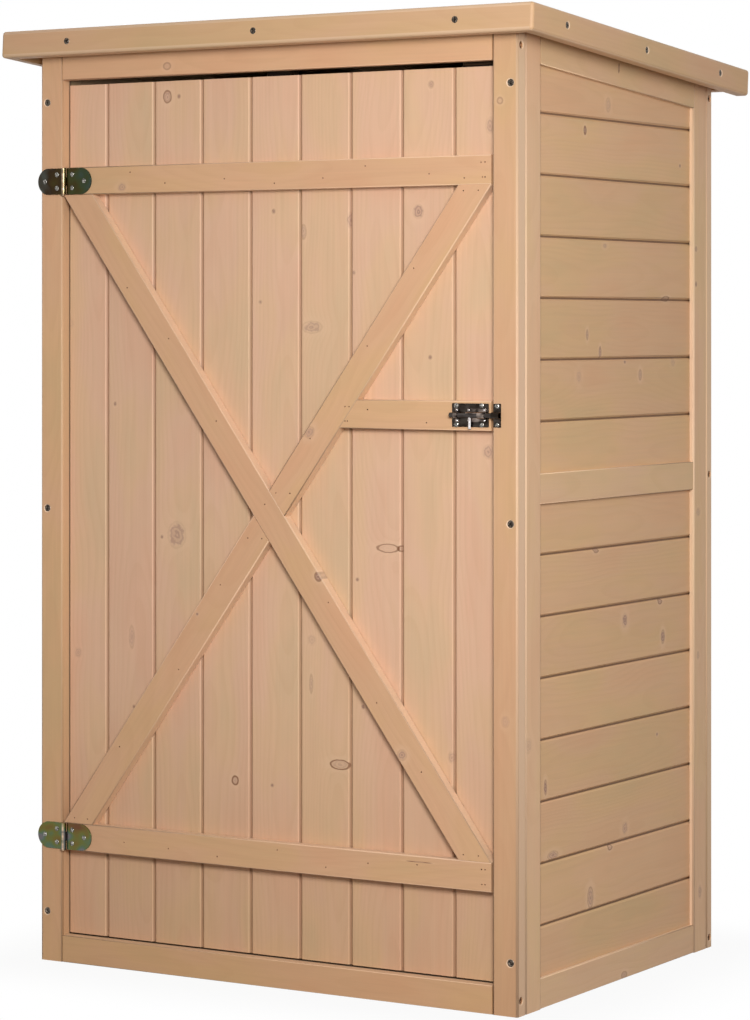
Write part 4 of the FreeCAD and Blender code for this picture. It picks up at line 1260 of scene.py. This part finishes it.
class CABINET_OT_frame_screws(bpy.types.Operator):
    """The countersunk screws of the frames and fascias"""

    bl_idname = "cabinet.frame_screws"
    bl_label = "Frame screws"

    def execute(self, context):
        steels = context.scene.cabinet_steel
        dull = screw_zinc("dull_zinc", tuple(steels.frame_screw_colour))
        # The brown is partly painted shade of the deep pits in the sides' edges.
        brown = screw_zinc("brown_zinc", tuple(steels.edge_screw_colour))
        for kind, radius, depth in screw_kinds(context.scene.cabinet_fasteners):
            under = Matrix.Translation((0, 0, -depth))
            places = [place @ under for rows in SCREWS.values() for one, place in rows if one == kind]
            mesh = gathered(cross_head(radius, False), places)
            show(f"{kind}_screws", mesh, brown if kind == "edge" else dull, "cabinet")
        return {"FINISHED"}


def board_edges():
    """Where the door's boards meet, across the door."""
    edges = []
    for solid in solids_of(nodes["door_boards"].data):
        edges.append(min(vert.co.x for vert in solid.verts))
        solid.free()
    edges.append(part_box("door_boards")[1].x)
    return sorted(edges)


def nail_places(draw):
    """Where the nails stand in the ledges and braces: one in each board crossed, and pairs at the ends."""
    edges = board_edges()
    places = []
    for name in DOOR_RAILS:
        board = Board(solids_of(nodes[name].data)[0], draw)
        along = board.along if board.along.x > 0 else -board.along
        up = Vector((-along.z, 0, along.x))
        middle = board.axes.transposed() @ board.middle
        level = abs(along.z) < 0.1
        reach = board.half.x - END_NAILS
        if not level:
            reach -= board.half.z * abs(along.x / along.z)
        low, high = middle - along * reach, middle + along * reach
        spots = []
        for left, right in zip(edges, edges[1:]):
            x = (left + right) / 2 + draw.uniform(-NAIL_STRAY, NAIL_STRAY)
            if low.x + NAIL_CLEAR < x < high.x - NAIL_CLEAR:
                spot = low + along * ((x - low.x) / along.x)
                spots.append(spot + up * (draw.uniform(-0.55, 0.55) * board.half.z))
        for end, inward in ((low, along), (high, -along)):
            if name == "long_brace" and end is low:
                continue
            for side in (-0.5, 0.5):
                if level:
                    spots.append(end + up * (side * board.half.z))
                    spots.append(spots[-1] + inward * draw.uniform(0.003, 0.006))
                else:
                    spots.append(end + Vector((side * 0.9 * board.half.z / abs(along.z), 0, 0)))
        places += [Vector((spot.x, FRONT, spot.z)) for spot in spots]
    return places


class CABINET_OT_nails(bpy.types.Operator):
    """The nails in the door's ledges and braces"""

    bl_idname = "cabinet.nails"
    bl_label = "Nails"

    def execute(self, context):
        radius = context.scene.cabinet_fasteners.nail_radius
        zinc = screw_zinc("brown_zinc", tuple(context.scene.cabinet_steel.edge_screw_colour))
        shares = [(0, 0.08), (0.8, 0.064), (1, 0), (1, -1), (0, -1)]
        nail = mesh_of(scaled_turn(shares, radius, 12))
        places = [facing(point, FORWARD) for point in nail_places(random.Random("nails"))]
        show("door_nails", gathered(nail, places), zinc, "door")
        return {"FINISHED"}


def seen_directly(web):
    """1 for a ray from the camera, or by way of a mirror or glass, and 0 for the light's own."""
    rays = web.add("LightPath").socket.node.outputs
    camera, glossy = Value(web, rays["Is Camera Ray"]), Value(web, rays["Is Glossy Ray"])
    seen = web.maths("MAXIMUM", camera, glossy)
    return web.maths("MAXIMUM", seen, Value(web, rays["Is Transmission Ray"]))


@finish
def floor_paint(web, surface, colour):
    """Pale and plain, and fading into the white round the cabinet's shadow."""
    web.join(surface, {"Base Color": colour, "Roughness": 0.9, "Specular IOR Level": 0.1})
    place = web.vectors("ABSOLUTE", web.place())
    outside = web.vectors("MAXIMUM", web.vectors("SUBTRACT", place, SHADOW_ROOM), (0, 0, 0))
    away = web.rise(web.vectors("LENGTH", outside, output=1), 0, SHADOW_FADE)
    share = (FLOOR_LIGHT + away * (1 - FLOOR_LIGHT)) * seen_directly(web)
    white = web.add("Emission", {"Color": (1, 1, 1), "Strength": 1})
    mixed = web.add("MixShader", {0: share, 1: Value(web, surface.outputs[0]), 2: white})
    web.join(web.tree.nodes["Material Output"], {"Surface": mixed})


def lay_floor(colour):
    """A pale floor that keeps the cabinet's shadow near it and fades to white."""
    mesh = bpy.data.meshes.new("floor")
    corners = [(-1, -1), (1, -1), (1, 1), (-1, 1)]
    mesh.from_pydata([(x * FLOOR_REACH, y * FLOOR_REACH, -FLOOR_GAP) for x, y in corners], [], [range(4)])
    mesh.materials.append(floor_paint("studio_floor", colour))
    floor = bpy.data.objects.new("floor", mesh)
    bpy.context.scene.collection.objects.link(floor)


def light_room(settings):
    """White all round as seen, a lower even light from it, and three soft lamps."""
    world = bpy.data.worlds.new("studio")
    world.use_nodes = True
    web = Web(world.node_tree)
    level = settings.ambient + seen_directly(web) * (1 - settings.ambient)
    web.join(world.node_tree.nodes["Background"], {"Color": (1, 1, 1), "Strength": level})
    bpy.context.scene.world = world
    for name, azimuth, elevation, distance, size in LAMPS:
        lamp = bpy.data.lights.new(name, "AREA")
        lamp.shape = "DISK"
        lamp.size = size
        lamp.energy = getattr(settings, f"{name}_power")
        turn, lift = math.radians(azimuth), math.radians(elevation)
        away = Vector((math.sin(turn) * math.cos(lift), -math.cos(turn) * math.cos(lift), math.sin(lift)))
        holder = bpy.data.objects.new(name, lamp)
        holder.location = LAMP_AIM + away * distance
        holder.rotation_euler = away.to_track_quat("Z", "Y").to_euler()
        holder.visible_camera = False
        bpy.context.scene.collection.objects.link(holder)


def place_camera():
    """The camera at the photograph's viewing angle, level, on the object's right."""
    camera = bpy.data.cameras.new("photograph")
    camera.lens = CAMERA_LENS
    camera.shift_y = CAMERA_SHIFT
    camera.clip_end = CAMERA_REACH
    holder = bpy.data.objects.new("photograph", camera)
    holder.location = CAMERA_PLACE
    holder.rotation_euler = (math.radians(90), 0, CAMERA_TURN)
    bpy.context.scene.collection.objects.link(holder)
    bpy.context.scene.camera = holder


class CABINET_OT_stage(bpy.types.Operator):
    """The pale floor, the white room, the lamps and the camera"""

    bl_idname = "cabinet.stage"
    bl_label = "Stage"

    def execute(self, context):
        settings = context.scene.cabinet_stage
        lay_floor(tuple(settings.floor_colour))
        light_room(settings)
        place_camera()
        context.scene.view_settings.view_transform = "Standard"
        return {"FINISHED"}


OPERATORS = (
    CABINET_OT_front_frame,
    CABINET_OT_side_frames,
    CABINET_OT_side_boards,
    CABINET_OT_back,
    CABINET_OT_roof,
    CABINET_OT_felt,
    CABINET_OT_inside,
    CABINET_OT_door_boards,
    CABINET_OT_ledges,
    CABINET_OT_hinges,
    CABINET_OT_bolt,
    CABINET_OT_small_screws,
    CABINET_OT_frame_screws,
    CABINET_OT_nails,
    CABINET_OT_stage,
)


class CABINET_PT_pieces(bpy.types.Panel):
    """Lists what the cabinet is made of"""

    bl_label = "Garden storage cabinet"
    bl_space_type = "VIEW_3D"
    bl_region_type = "UI"
    bl_category = "Cabinet"

    def draw(self, context):
        for operator in OPERATORS:
            self.layout.operator(operator.bl_idname)
        for group in SETTINGS:
            settings = getattr(context.scene, group)
            box = self.layout.box()
            for name in settings.bl_rna.properties.keys():
                if name not in ("rna_type", "name"):
                    box.prop(settings, name)


def register():
    for group, kind in SETTINGS.items():
        bpy.utils.register_class(kind)
        setattr(bpy.types.Scene, group, PointerProperty(type=kind))
    for kind in (*OPERATORS, CABINET_PT_pieces):
        bpy.utils.register_class(kind)


def unregister():
    for kind in (CABINET_PT_pieces, *reversed(OPERATORS)):
        bpy.utils.unregister_class(kind)
    for group, kind in SETTINGS.items():
        delattr(bpy.types.Scene, group)
        bpy.utils.unregister_class(kind)


def main():
    register()
    for operator in OPERATORS:
        getattr(bpy.ops.cabinet, operator.bl_idname.split(".")[1])()


if __name__ == "__main__":
    main()
